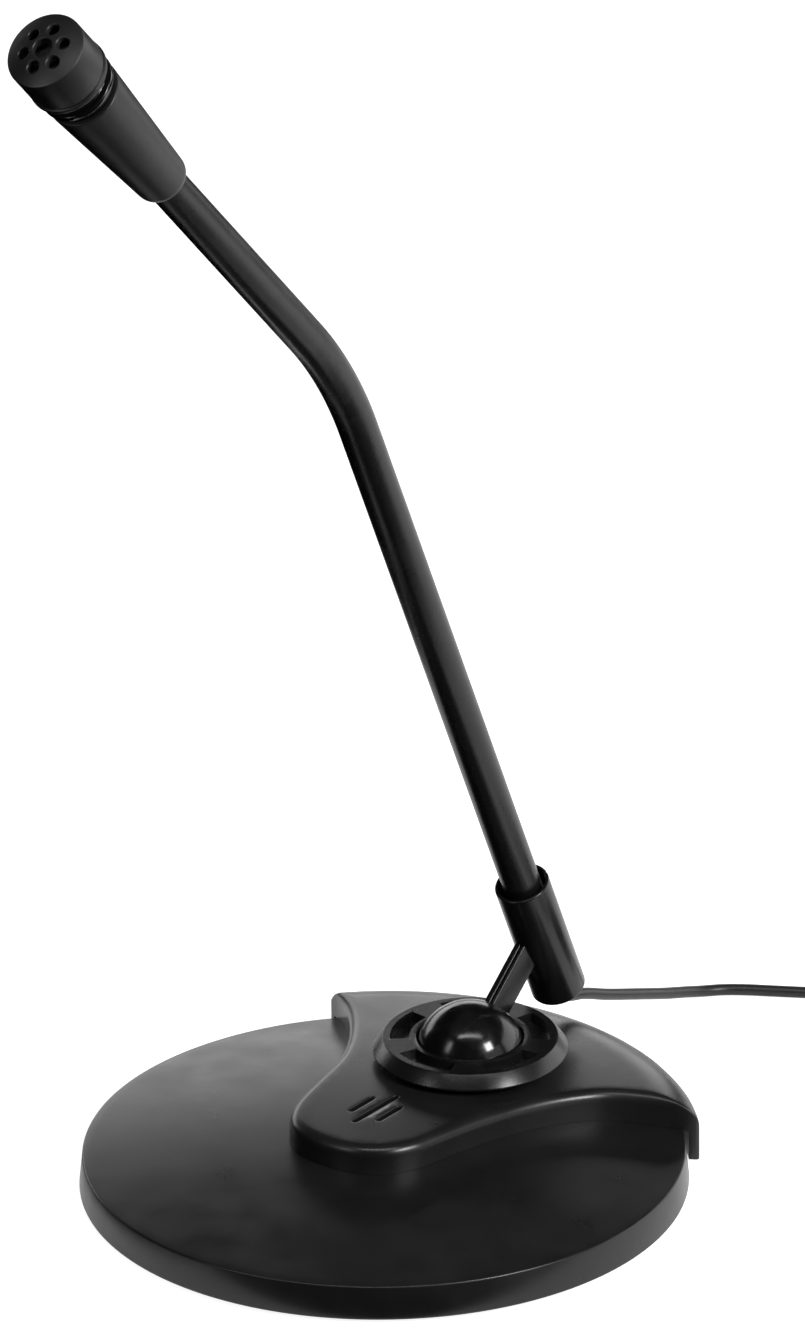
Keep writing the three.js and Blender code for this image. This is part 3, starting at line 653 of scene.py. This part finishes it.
def deck_piece():
    """The deck cover, with its rounded edge, vent slots and hole for the ring's neck."""
    bm = bmesh.new()
    outline, normals = zip(*split_at_radius(deck_outline(), SKIRT_INNER_R))
    steps = 8
    foot = lay(bm, outline, deck_under)
    edges = [deck_round(p) for p in outline]
    below = [bm.verts.new((p.x, p.y, deck(p.x, p.y) - e - 0.4)) for p, e in zip(outline, edges)]
    bridge(bm, foot, below)
    for k in range(steps + 1):
        turn = math.pi / 2 * k / steps
        upper = []
        for p, n, e in zip(outline, normals, edges):
            spot = p + n * e * (1 - math.cos(turn))
            upper.append(bm.verts.new((spot.x, spot.y, deck(spot.x, spot.y) - e * (1 - math.sin(turn)))))
        bridge(bm, below, upper)
        below = upper
    holes = []
    for i, length in enumerate(SLOT_LENGTHS):
        x = (i - 1) * SLOT_PITCH
        rims = [lay(bm, slot_loop(x, length, grow), deck, drop) for grow, drop in SLOT_RIM]
        for upper, lower in zip(rims, rims[1:]):
            bridge(bm, upper, lower)
        bm.faces.new(rims[-1])
        holes.append(rims[0])
    hole_top, hole_foot = lay(bm, ring_hole(), deck), lay(bm, ring_hole(), dome, -DECK_GAP)
    bridge(bm, hole_top, hole_foot)
    fill(bm, [below, *holes, hole_top], deck, 1.3)
    close_deck_underside(bm, foot, hole_foot)
    return settle(add_piece("deck_top", bm, DECK_PLASTIC), "base", "deck_plastic", "deck_cover")


def close_deck_underside(bm, foot, hole):
    """The face over the dome, the lip under the skirt, and the step between them."""
    outside = [v.co.to_2d().length > SKIRT_INNER_R for v in foot]
    first = next(i for i in range(len(foot)) if outside[i] and not outside[i - 1])
    turned_loop = foot[first:] + foot[:first]
    lip_count = sum(outside)
    lip, middle = turned_loop[:lip_count], turned_loop[lip_count:]
    start, end = lip[-1].co, lip[0].co
    angles = np.linspace(math.atan2(start.y, start.x), math.atan2(end.y, end.x), 90)[1:-1]
    arc = [Vector((math.cos(t), math.sin(t))) * SKIRT_INNER_R for t in angles]
    low = [bm.verts.new((p.x, p.y, SKIRT_Z)) for p in arc]
    high = [bm.verts.new((p.x, p.y, dome(p.x, p.y) + DECK_GAP)) for p in arc]
    fill(bm, [lip + low], lambda x, y: SKIRT_Z, 3)
    fill(bm, [middle + list(reversed(high)), hole], lambda x, y: dome(x, y) + DECK_GAP, 6)
    bridge(bm, [lip[-1], *low, lip[0]], [middle[0], *high, middle[-1]], closed=False)


# ---------------------------------------------------------------- turntable ring and ball
def recess_depth(r, turn, half_sweep):
    """Depth of the ring's arc recesses at a radius and at an angle from the nearest one's middle."""
    across = ease(r, RECESS_IN - RECESS_WALL, RECESS_IN) * (1 - ease(r, RECESS_OUT, RECESS_OUT + RECESS_WALL))
    along = 1 - ease(abs(turn), half_sweep, half_sweep + RECESS_WALL_ARC)
    return RECESS_DEPTH * across * along


def ring_angles(pitch, half, wall):
    """Angles over one recess pitch, close together at the recess's two end walls."""
    steps = [half + wall * k / 5 for k in range(6)]
    floor = list(np.linspace(0, half, 9)[:-1])
    land = list(np.linspace(half + wall, pitch / 2, 5)[1:])
    side = floor + steps + land
    return [-t for t in reversed(side[1:-1])] + side


def ring_height(r, turn, half_sweep):
    """Height of the ring's top, with its recesses and the small fall at its bore."""
    return RING_TOP - recess_depth(r, turn, half_sweep) - BORE_FALL * (1 - ease(r, *BORE_EDGE))


def ring_top_radii():
    """Radii of the top's rows, close together at the curved walls of the recesses."""
    radii = [10.15, 10.25, 10.5, 10.9, 12.2, 13, 13.8, 15.2, 15.7, RING_EDGE_R]
    for wall, sign in ((RECESS_IN, -1), (RECESS_OUT, 1)):
        radii += [wall + sign * RECESS_WALL * k / 5 for k in range(6)]
    return sorted(radii)


def ring_section():
    """The ring's other rows: over its rim, down its neck and up its bore past the ball."""
    outer = rounded([
        (RING_EDGE_R, RING_TOP, 0), (RING_TOP_R, RING_TOP, 0.3), (RING_R, RING_UNDER + 0.35, 0.3),
        (RING_R - 0.1, RING_UNDER, 0.25), (NECK_R, RING_UNDER, 0), (NECK_R, NECK_LIP_Z, 0)], 5)[1:]
    socket = BALL_R + BALL_PLAY
    bore = [
        (SEAT_BORE_R, NECK_LIP_Z), (SEAT_BORE_R, 13), (socket, 13.4), (socket, BALL.z),
        (BALL_R + 0.22, BALL.z + 1.7), (10.05, BALL.z + 2.9), (9.95, RING_TOP - 0.5), (10, RING_TOP - 0.12),
    ]
    return [tuple(p) for p in outer] + bore


def swivel_piece():
    """The turntable ring, built as columns of vertices round the ball."""
    pitch, half = TURN / RECESSES, math.radians(RECESS_SWEEP / 2)
    turns = ring_angles(pitch, half, RECESS_WALL_ARC)
    radii, section = ring_top_radii(), ring_section()
    bm = bmesh.new()
    columns = []
    for i in range(RECESSES):
        centre = -math.pi / 2 + i * pitch
        for turn in turns:
            out = Vector((math.cos(centre + turn), math.sin(centre + turn), 0))
            rows = [(r, ring_height(r, turn, half)) for r in radii] + section
            columns.append([bm.verts.new(out * r + Vector((BALL.x, BALL.y, z))) for r, z in rows])
    for left, right in zip(columns, columns[1:] + columns[:1]):
        bridge(bm, left, right)
    return settle(add_piece("turntable", bm, RING_PLASTIC, 40), "swivel", "ring_plastic", "swivel_ring")


def ball_piece():
    """The ball, turned about the arm's axis, with a shallow seat where the arm enters it."""
    place = frame_at(BALL, ARM_RISE - math.pi / 2)
    steps = 64
    profile = [(0, -BALL_R)]
    for k in range(1, steps):
        turn = math.pi * k / steps - math.pi / 2
        r, z = BALL_R * math.cos(turn), BALL_R * math.sin(turn)
        if z > BALL_R - 0.25:
            break
        profile.append((r, z))
    profile += [(1.9, BALL_R - 0.3), (1.8, BALL_R - 3), (0, BALL_R - 3)]
    return settle(turned("ball_gloss", profile, BALL_GLOSS, place, 128), "holder", "ball_plastic", "ball")


# ---------------------------------------------------------------- holder
STEM_LEAN = math.atan2(-JOINTS["stem_twist"]["axis"][1], JOINTS["stem_twist"]["axis"][2])
STEM_FRAME = frame_at(joint_place("stem_twist"), STEM_LEAN)


def sleeve_piece():
    """Slit sleeve: a turned tube, with the slit cut out of its wall by a boolean."""
    profile = rounded([
        (SLEEVE_BORE_R, 10, 0), (SLEEVE_BORE_R, 0, 0.3), (SLEEVE_R, 0, 0.55), (SLEEVE_R, SLEEVE_L, 0.4),
        (SLEEVE_BORE_R, SLEEVE_L, 0.25), (SLEEVE_BORE_R, 10, 0)], 5)[:-1]
    bm = bmesh.new()
    lathe(bm, [*profile, profile[0]], STEM_FRAME, 128)
    bmesh.ops.remove_doubles(bm, verts=bm.verts, dist=0.001)
    piece = add_piece("holder_sleeve", bm, HOLDER_PLASTIC)
    knife = bmesh.new()
    turn = Matrix.Rotation(math.radians(SLIT_ANGLE), 4, "Z")
    box = Matrix.LocRotScale(Vector((0, -SLEEVE_R, SLEEVE_L)), None, Vector((SLIT_W, 4, SLIT_L * 2)))
    bmesh.ops.create_cube(knife, size=1, matrix=STEM_FRAME @ turn @ box)
    cutter = add_piece("slit_knife", knife, HOLDER_PLASTIC)
    boolean_cut(piece, cutter)
    return settle(piece, "holder", "holder_plastic", "holder")


def boolean_cut(piece, cutter):
    """Subtracts the cutter, keeps the result and removes the cutter."""
    cut = piece.modifiers.new("cut", "BOOLEAN")
    cut.operation = "DIFFERENCE"
    cut.solver = "EXACT"
    cut.object = cutter
    graph = bpy.context.evaluated_depsgraph_get()
    mesh = bpy.data.meshes.new_from_object(piece.evaluated_get(graph))
    piece.modifiers.clear()
    piece.data = mesh
    mesh.shade_smooth()
    mesh.set_sharp_from_angle(angle=math.radians(34))
    bpy.data.objects.remove(cutter)


def arm_piece():
    """Two ribs with a groove between them, from the ball up to the sleeve."""
    place = frame_at(BALL, ARM_RISE - math.pi / 2)
    under = ARM_SECTION[0][1]
    loop = rounded([(0, under, 0), *ARM_SECTION, (0, under, 0)], 3)[:-1]
    to_stem = STEM_FRAME.inverted() @ place
    bm = bmesh.new()
    rows = []
    for share in (0, 0.04, 0.3, 0.6, 0.97, 1):
        row = []
        for p in loop:
            near = Vector((p.x, p.y, BALL_R - ARM_IN_BALL))
            a = to_stem @ near
            b = to_stem @ (near + Vector((0, 0, 1)))
            reach = (-(SLEEVE_R - ARM_IN_SLEEVE) - a.y) / (b.y - a.y)
            row.append(bm.verts.new(place @ (near + Vector((0, 0, reach * share)))))
        rows.append(row)
    for low, high in zip(rows, rows[1:]):
        bridge(bm, low, high)
    bm.faces.new(rows[0])
    bm.faces.new(rows[-1])
    return settle(add_piece("holder_arm", bm, HOLDER_PLASTIC, 40), "holder", "holder_plastic")


# ---------------------------------------------------------------- stem
BEND_PLACES = [joint_place(f"neck_bend_{i}") for i in range(1, 6)]
BEND_EACH = (BEND_PLACES[1] - BEND_PLACES[0]).angle(Vector(JOINTS["stem_twist"]["axis"]))
HEAD_FRAME_LEAN = STEM_LEAN + BEND_EACH * len(BEND_PLACES)


def way(lean):
    """The direction that leans forward by that angle."""
    return Vector((0, -math.sin(lean), math.cos(lean)))


def sheath(name, stations):
    """A tube along (place, lean) stations."""
    bm = bmesh.new()
    steps = 56
    outer, inner = [], []
    for place, lean in stations:
        station = frame_at(place, lean)
        for rows, radius in ((outer, STEM_R), (inner, STEM_R - STEM_WALL)):
            rows.append([
                bm.verts.new(station @ Vector((radius * math.cos(TURN * i / steps),
                                               radius * math.sin(TURN * i / steps), 0)))
                for i in range(steps)
            ])
    for rows in (outer, inner):
        for low, high in zip(rows, rows[1:]):
            bridge(bm, low, high)
    bridge(bm, outer[0], inner[0])
    bridge(bm, outer[-1], inner[-1])
    return add_piece(name, bm, SHEATH)


def stem_pieces():
    """The sheathed gooseneck: straight, five short bends, and straight again."""
    half = BEND_STEP / 2
    foot = joint_place("stem_twist")
    start = foot + way(STEM_LEAN) * STEM_FOOT
    stop = BEND_PLACES[0] - way(STEM_LEAN) * half
    count = 24
    straight = [(start.lerp(stop, i / count), STEM_LEAN) for i in range(count + 1)]
    settle(sheath("sheath_lower", straight), "stem", "stem_sheath", "stem_lower")
    for i, centre in enumerate(BEND_PLACES):
        lean, after = STEM_LEAN + BEND_EACH * i, STEM_LEAN + BEND_EACH * (i + 1)
        radius = half / math.tan(BEND_EACH / 2)
        begin = centre - way(lean) * half
        hub = begin + Vector((0, -math.cos(lean), -math.sin(lean))) * radius
        stations = []
        for k in range(9):
            now = lean + BEND_EACH * k / 8
            stations.append((hub - Vector((0, -math.cos(now), -math.sin(now))) * radius, now))
        piece = sheath(f"sheath_bend_{i + 1}", stations)
        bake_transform(piece)
        if i < len(BEND_PLACES) - 1:
            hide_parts(f"neck_link_{i + 1}")
    start = BEND_PLACES[-1] + way(HEAD_FRAME_LEAN) * half
    stop = BEND_PLACES[-1] + way(HEAD_FRAME_LEAN) * (HEAD_REAR + STEM_IN_HEAD)
    straight = [(start.lerp(stop, i / 12), HEAD_FRAME_LEAN) for i in range(13)]
    settle(sheath("sheath_upper", straight), "head", "stem_sheath", "stem_upper")


# ---------------------------------------------------------------- head
HEAD_FRAME = frame_at(BEND_PLACES[-1] + way(HEAD_FRAME_LEAN) * HEAD_REAR, HEAD_FRAME_LEAN)


def head_sleeve_piece():
    """Tapered sleeve with a softly rounded rear end."""
    bore = STEM_R + 0.2
    across, along = HEAD_REAR_ROUND
    profile = [(bore, 6), (bore, 0.25), (bore + 0.05, 0.05)]
    for k in range(9):
        turn = math.pi / 2 * k / 8
        z = along * (1 - math.cos(turn))
        radius = HEAD_REAR_R + (SLEEVE_END_R - HEAD_REAR_R) * z / HEAD_SLEEVE_L
        profile.append((radius - across * (1 - math.sin(turn)), z))
    front = rounded([
        (*profile[-1], 0), (SLEEVE_END_R, HEAD_SLEEVE_L, 0.3), (GROOVE_R - 0.1, HEAD_SLEEVE_L, 0),
        (GROOVE_R - 0.3, 24, 0), (4.4, 11, 0), (bore, 9.5, 0), (bore, 6, 0)], 7)
    return settle(turned("head_body", [*profile, *front[1:]], HEAD_PAINT, HEAD_FRAME),
                  "head", "head_plastic", "head_sleeve")


def collar_piece():
    """Glossy grooved ring between the sleeve and the cap."""
    z, rear = HEAD_SLEEVE_L + 0.3, HEAD_L - CAP_L - 0.3
    profile = rounded([
        (4.4, z, 0), (4.1, z - 6, 0), (GROOVE_R - 0.6, z - 6, 0), (GROOVE_R - 0.6, z, 0), (GROOVE_R, z, 0),
        (GROOVE_R, z + 1.6, 0.25), (RIDGE_R, z + 1.8, 0.2), (RIDGE_R, z + 2.8, 0.2),
        (GROOVE_R, z + 3.0, 0.25), (GROOVE_R, rear + 1.6, 0), (4.4, rear + 1.6, 0), (4.4, z, 0)], 4)[:-1]
    return settle(turned("collar_rings", [*profile, profile[0]], COLLAR_GLOSS, HEAD_FRAME),
                  "head", "collar_gloss", "groove_collar")


def cap_face(x, y):
    """Height of the cap's crowned face."""
    return HEAD_L + CAP_CROWN * (1 - (x * x + y * y) / (CAP_R - 0.35) ** 2)


def cap_piece():
    """Cap with a crowned face, a bead at its rear and a pattern of round holes."""
    rear = HEAD_L - CAP_L
    side = rounded([
        (CAP_R - 0.35, HEAD_L, 0), (CAP_R, HEAD_L - 0.12, 0.25), (CAP_R, rear + 1.5, 0.1),
        (CAP_R - 0.35, rear + 1.3, 0.1), (CAP_R - 0.35, rear + 1.05, 0.1), (CAP_BEAD_R, rear + 0.85, 0.2),
        (CAP_BEAD_R, rear, 0.3), (6.2, rear, 0), (6.2, HEAD_L - CAP_FACE_T, 0)], 4)
    bm = bmesh.new()
    rows = lathe(bm, [tuple(p) for p in side], HEAD_FRAME, 112)
    holes, backs = [], []
    places = [(0, 0, CENTRE_HOLE_R)]
    for i in range(HOLES):
        turn = TURN * (i + 0.5) / HOLES
        places.append((HOLE_RING * math.cos(turn), HOLE_RING * math.sin(turn), HOLE_R))
    for x, y, radius in places:
        rims = []
        for grow, drop in HOLE_RIM:
            rim = []
            for k in range(28):
                turn = TURN * k / 28
                u, v = x + (radius + grow) * math.cos(turn), y + (radius + grow) * math.sin(turn)
                rim.append(bm.verts.new(HEAD_FRAME @ Vector((u, v, cap_face(u, v) - drop))))
            rims.append(rim)
        for upper, lower in zip(rims, rims[1:]):
            bridge(bm, upper, lower)
        holes.append(rims[0])
        backs.append(rims[-1])
    fill(bm, [rows[0], *holes], cap_face, 0.8, HEAD_FRAME)
    fill(bm, [rows[-1], *backs], lambda x, y: cap_face(x, y) - CAP_FACE_T, 1.2, HEAD_FRAME)
    return settle(add_piece("cap_shell", bm, HEAD_PAINT, 40), "head", "head_plastic", "head_cap")


# ---------------------------------------------------------------- lead
LEAD_ROUTE = [
    (0, 51.4, 22.8), (0, 52.17, 20.96), (0, 52.8, 19.5), (0, 53.75, 17.6), (0, 56.0, 16.3), (0, 60.3, 15.0),
    (0, 67.5, 12.0), (0, 76.9, 8.4),
]
CORD_ROUTE = [
    (0, 76.9, 8.4), (0, 86.5, 4.8), (0.1, 91.8, 3.0), (0.9, 96.2, 1.7), (3.0, 99.8, 1.2), (6.3, 102.5, 1.1),
    (10.8, 105.2, 1.1), (16.0, 108.3, 1.1), (22.9, 112.6, 1.1), (29.7, 116.8, 1.1),
]
COIL_FROM = math.radians(122)
STEP_ARC = math.radians(70)  # where each turn steps to the next


def coil_path():
    """Flat layers of round turns, clockwise, stepping in or out once a turn and up once a layer."""
    per_turn, points = 36, []
    turns = []
    for layer in range(COIL_LAYERS):
        radii = COIL_TURN_R if layer % 2 == 0 else COIL_TURN_R[::-1]
        turns += [(r, CORD_R + layer * CORD_R * 2.0) for r in radii]
    last = COIL_FROM / TURN
    for i, (r, z) in enumerate(turns):
        share = 1 if i < len(turns) - 1 else last
        ahead = turns[i + 1] if i < len(turns) - 1 else (r, z)
        for k in range(round(per_turn * share)):
            at = TURN * k / per_turn
            move = ease(at, TURN - STEP_ARC, TURN)
            radius, height = r + (ahead[0] - r) * move, z + (ahead[1] - z) * move
            turn = COIL_FROM - at
            points.append((COIL_AT.x + radius * math.cos(turn), COIL_AT.y + radius * math.sin(turn), height))
    return points


def spline(points, spacing):
    """A smooth line through given points."""
    curve = bpy.data.curves.new("route", "CURVE")
    curve.dimensions = "3D"
    line = curve.splines.new("BEZIER")
    line.bezier_points.add(len(points) - 1)
    for knot, place in zip(line.bezier_points, points):
        knot.co = place
        knot.handle_left_type = knot.handle_right_type = "AUTO"
    holder = bpy.data.objects.new("route", curve)
    bpy.context.scene.collection.objects.link(holder)
    bpy.context.view_layer.update()
    curve.resolution_u = 16
    mesh = bpy.data.meshes.new_from_object(holder)
    dense = [v.co.copy() for v in mesh.vertices]
    bpy.data.objects.remove(holder)
    bpy.data.meshes.remove(mesh)
    return even(dense, spacing)


def tube(name, line, radius, material, sides=14):
    """A round cord along a line, with rounded-off ends."""
    bm = bmesh.new()
    normal = Vector((1, 0, 0))
    rows = []
    for i, point in enumerate(line):
        along = (line[min(i + 1, len(line) - 1)] - line[max(i - 1, 0)]).normalized()
        normal = (normal - along * normal.dot(along)).normalized()
        side = along.cross(normal)
        row = []
        for k in range(sides):
            out = normal * math.cos(TURN * k / sides) + side * math.sin(TURN * k / sides)
            row.append(bm.verts.new(point + out * radius))
        rows.append(row)
    for low, high in zip(rows, rows[1:]):
        bridge(bm, low, high)
    bm.faces.new(rows[0])
    bm.faces.new(rows[-1])
    return add_piece(name, bm, material, 60)


def lead_tail():
    """The lead from inside the sleeve to where it hangs free behind the base."""
    line = spline([Vector(p) for p in LEAD_ROUTE], 0.8)
    piece = tube("lead_tail", line, CORD_R, CORD_JACKET)
    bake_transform(piece)
    return piece


def cord_piece(with_pieces):
    """The rest of the lead: down to the desk, into its coil and out to the plug."""
    coil = coil_path()
    last = coil[-1]
    tail = [(PLUG_X, 99.0, last[2] - 0.9), (PLUG_X, 94.3, PLUG_Z + 0.6), (PLUG_X, 90, PLUG_Z),
            (PLUG_X, PLUG_REAR_Y + 0.3, PLUG_Z)]
    line = spline([Vector(p) for p in [*CORD_ROUTE, *coil, (PLUG_X, COIL_AT.y, last[2]), *tail]], 1.6)
    piece = tube("cord_lead", line, CORD_R, CORD_JACKET)
    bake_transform(piece)
    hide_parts("cord", "cord_coil", "cord_end")
    return piece


def tie_piece():
    """A flat band pinched over the coil."""
    line = rounded([(TIE_IN, 0, 0), (TIE_IN, TIE_TOP, TIE_ROUND), (TIE_OUT, TIE_TOP, TIE_ROUND),
                    (TIE_OUT, 0, 0)], 6)
    bm = bmesh.new()
    place = Matrix.Translation((COIL_AT.x, COIL_AT.y, 0)) @ Matrix.Rotation(TIE_TURN, 4, "Z")
    rows = []
    for i, p in enumerate(line):
        along = (line[min(i + 1, len(line) - 1)] - line[max(i - 1, 0)]).normalized()
        out = Vector((-along.y, along.x))
        row = []
        for depth, across in TIE_SECTION:
            spot = p + out * depth
            row.append(bm.verts.new(place @ Vector((spot.x, across, max(0.02, spot.y)))))
        rows.append(row)
    for low, high in zip(rows, rows[1:]):
        bridge(bm, low, high)
    bm.faces.new(rows[0])
    bm.faces.new(rows[-1])
    return settle(add_piece("tie_band", bm, SOFT_BLACK), "base", "soft_black", "coil_tie")


PLUG_FRAME = frame_at(Vector((PLUG_X, PLUG_REAR_Y, PLUG_Z)), math.pi / 2)


def boot_profile():
    """Ribbed strain relief round the lead."""
    bore = CORD_R + 0.05
    rings = []
    for i in range(4):
        z = 1.2 + i * 1.5
        r = 2.1 + 0.16 * z
        rings += [(r, z, 0.1), (r - 0.5, z + 0.15, 0.1), (r - 0.5, z + 0.6, 0.1), (r + 0.1, z + 0.75, 0.1)]
    boot = rounded([(bore, 3, 0), (bore, 0.1, 0.1), (2.0, 0, 0.3), *rings, (3.1, BOOT_L - 0.05, 0.2),
                    (bore, BOOT_L - 0.05, 0), (bore, 3, 0)], 3)[:-1]
    return [*boot, boot[0]]


def grip_profile():
    """Moulded grip with shallow grooves."""
    ribs = []
    for i in range(5):
        z, floor = BOOT_L + 5 + i * 2, GRIP_R - 0.3
        ribs += [(GRIP_R, z, 0.2), (floor, z + 0.3, 0.1), (floor, z + 0.8, 0.1), (GRIP_R, z + 1.1, 0.2)]
    return rounded([(0, BOOT_L, 0), (GRIP_R - 0.7, BOOT_L, 0.3), (GRIP_R, BOOT_L + 1.2, 0.8), *ribs,
                    (GRIP_R, GRIP_END - 1.2, 0.8), (GRIP_R - 0.6, GRIP_END, 0.4), (2.4, GRIP_END, 0),
                    (0, GRIP_END, 0)], 4)


def jack_profiles():
    """Barrel, insulating band and tip of the 3.5 mm jack."""
    barrel_end = JACK_Z + 8.4
    band_end = JACK_Z + 9.2
    barrel = rounded([(0, JACK_Z, 0), (JACK_R, JACK_Z, 0), (JACK_R, barrel_end, 0.12), (0, barrel_end, 0)], 3)
    band = [(0, barrel_end), (JACK_R - 0.06, barrel_end), (JACK_R - 0.06, band_end), (0, band_end)]
    tip = rounded([(0, band_end, 0), (JACK_R, band_end, 0.1), (JACK_R, JACK_Z + 10.7, 0.3),
                   (1.2, JACK_Z + 11.3, 0.5), (JACK_R - 0.1, JACK_Z + 12.3, 0.5), (0.6, JACK_Z + 13.95, 0.4),
                   (0, JACK_Z + 14, 0)], 5)
    return barrel, band, tip


def plug_pieces():
    """The jack plug beside the coil, piece by piece."""
    barrel, band, tip = jack_profiles()
    made = []
    for name, profile, material, slot, node in (
        ("boot_ribbed", boot_profile(), SOFT_BLACK, "plug_plastic", "plug_boot"),
        ("grip_ribbed", grip_profile(), PLUG_PLASTIC, "plug_plastic", "plug_grip"),
        ("jack_barrel", barrel, NICKEL, "plated", "plug_barrel"),
        ("jack_band", band, PLUG_PLASTIC, "plug_plastic", "plug_insulator"),
        ("jack_tip", tip, NICKEL, "plated", "plug_tip"),
    ):
        shape = turned(name, [tuple(p) for p in profile], material, PLUG_FRAME, 64)
        made.append(settle(shape, "base", slot, node))
    return made


def paint_cad_nodes():
    """Materials for the CAD nodes that stay: what is inside, and what shows only from below."""
    paints = {
        "bottom_plate": BASE_PLASTIC, "ballast_weight": STEEL, "ball_seat": RING_PLASTIC,
        "stem_bush": SOFT_BLACK, "lead_lower": CORD_JACKET, "lead_upper": CORD_JACKET,
        "dust_screen": SCREEN, "capsule_boot": SOFT_BLACK, "mic_capsule": NICKEL,
        **{f"base_screw_{i}": STEEL for i in range(1, 5)},
    }
    for name, paint in paints.items():
        mesh = frame["nodes"][name].data
        mesh.materials.clear()
        mesh.materials.append(paint)


make_camera()
studio()
stage_floor()
tail_piece = lead_tail()
cord_piece([tail_piece, tie_piece(), *plug_pieces()])
base_shell()
pad()
deck_piece()
swivel_piece()
ball_piece()
sleeve_piece()
arm_piece()
stem_pieces()
head_sleeve_piece()
collar_piece()
cap_piece()
paint_cad_nodes()
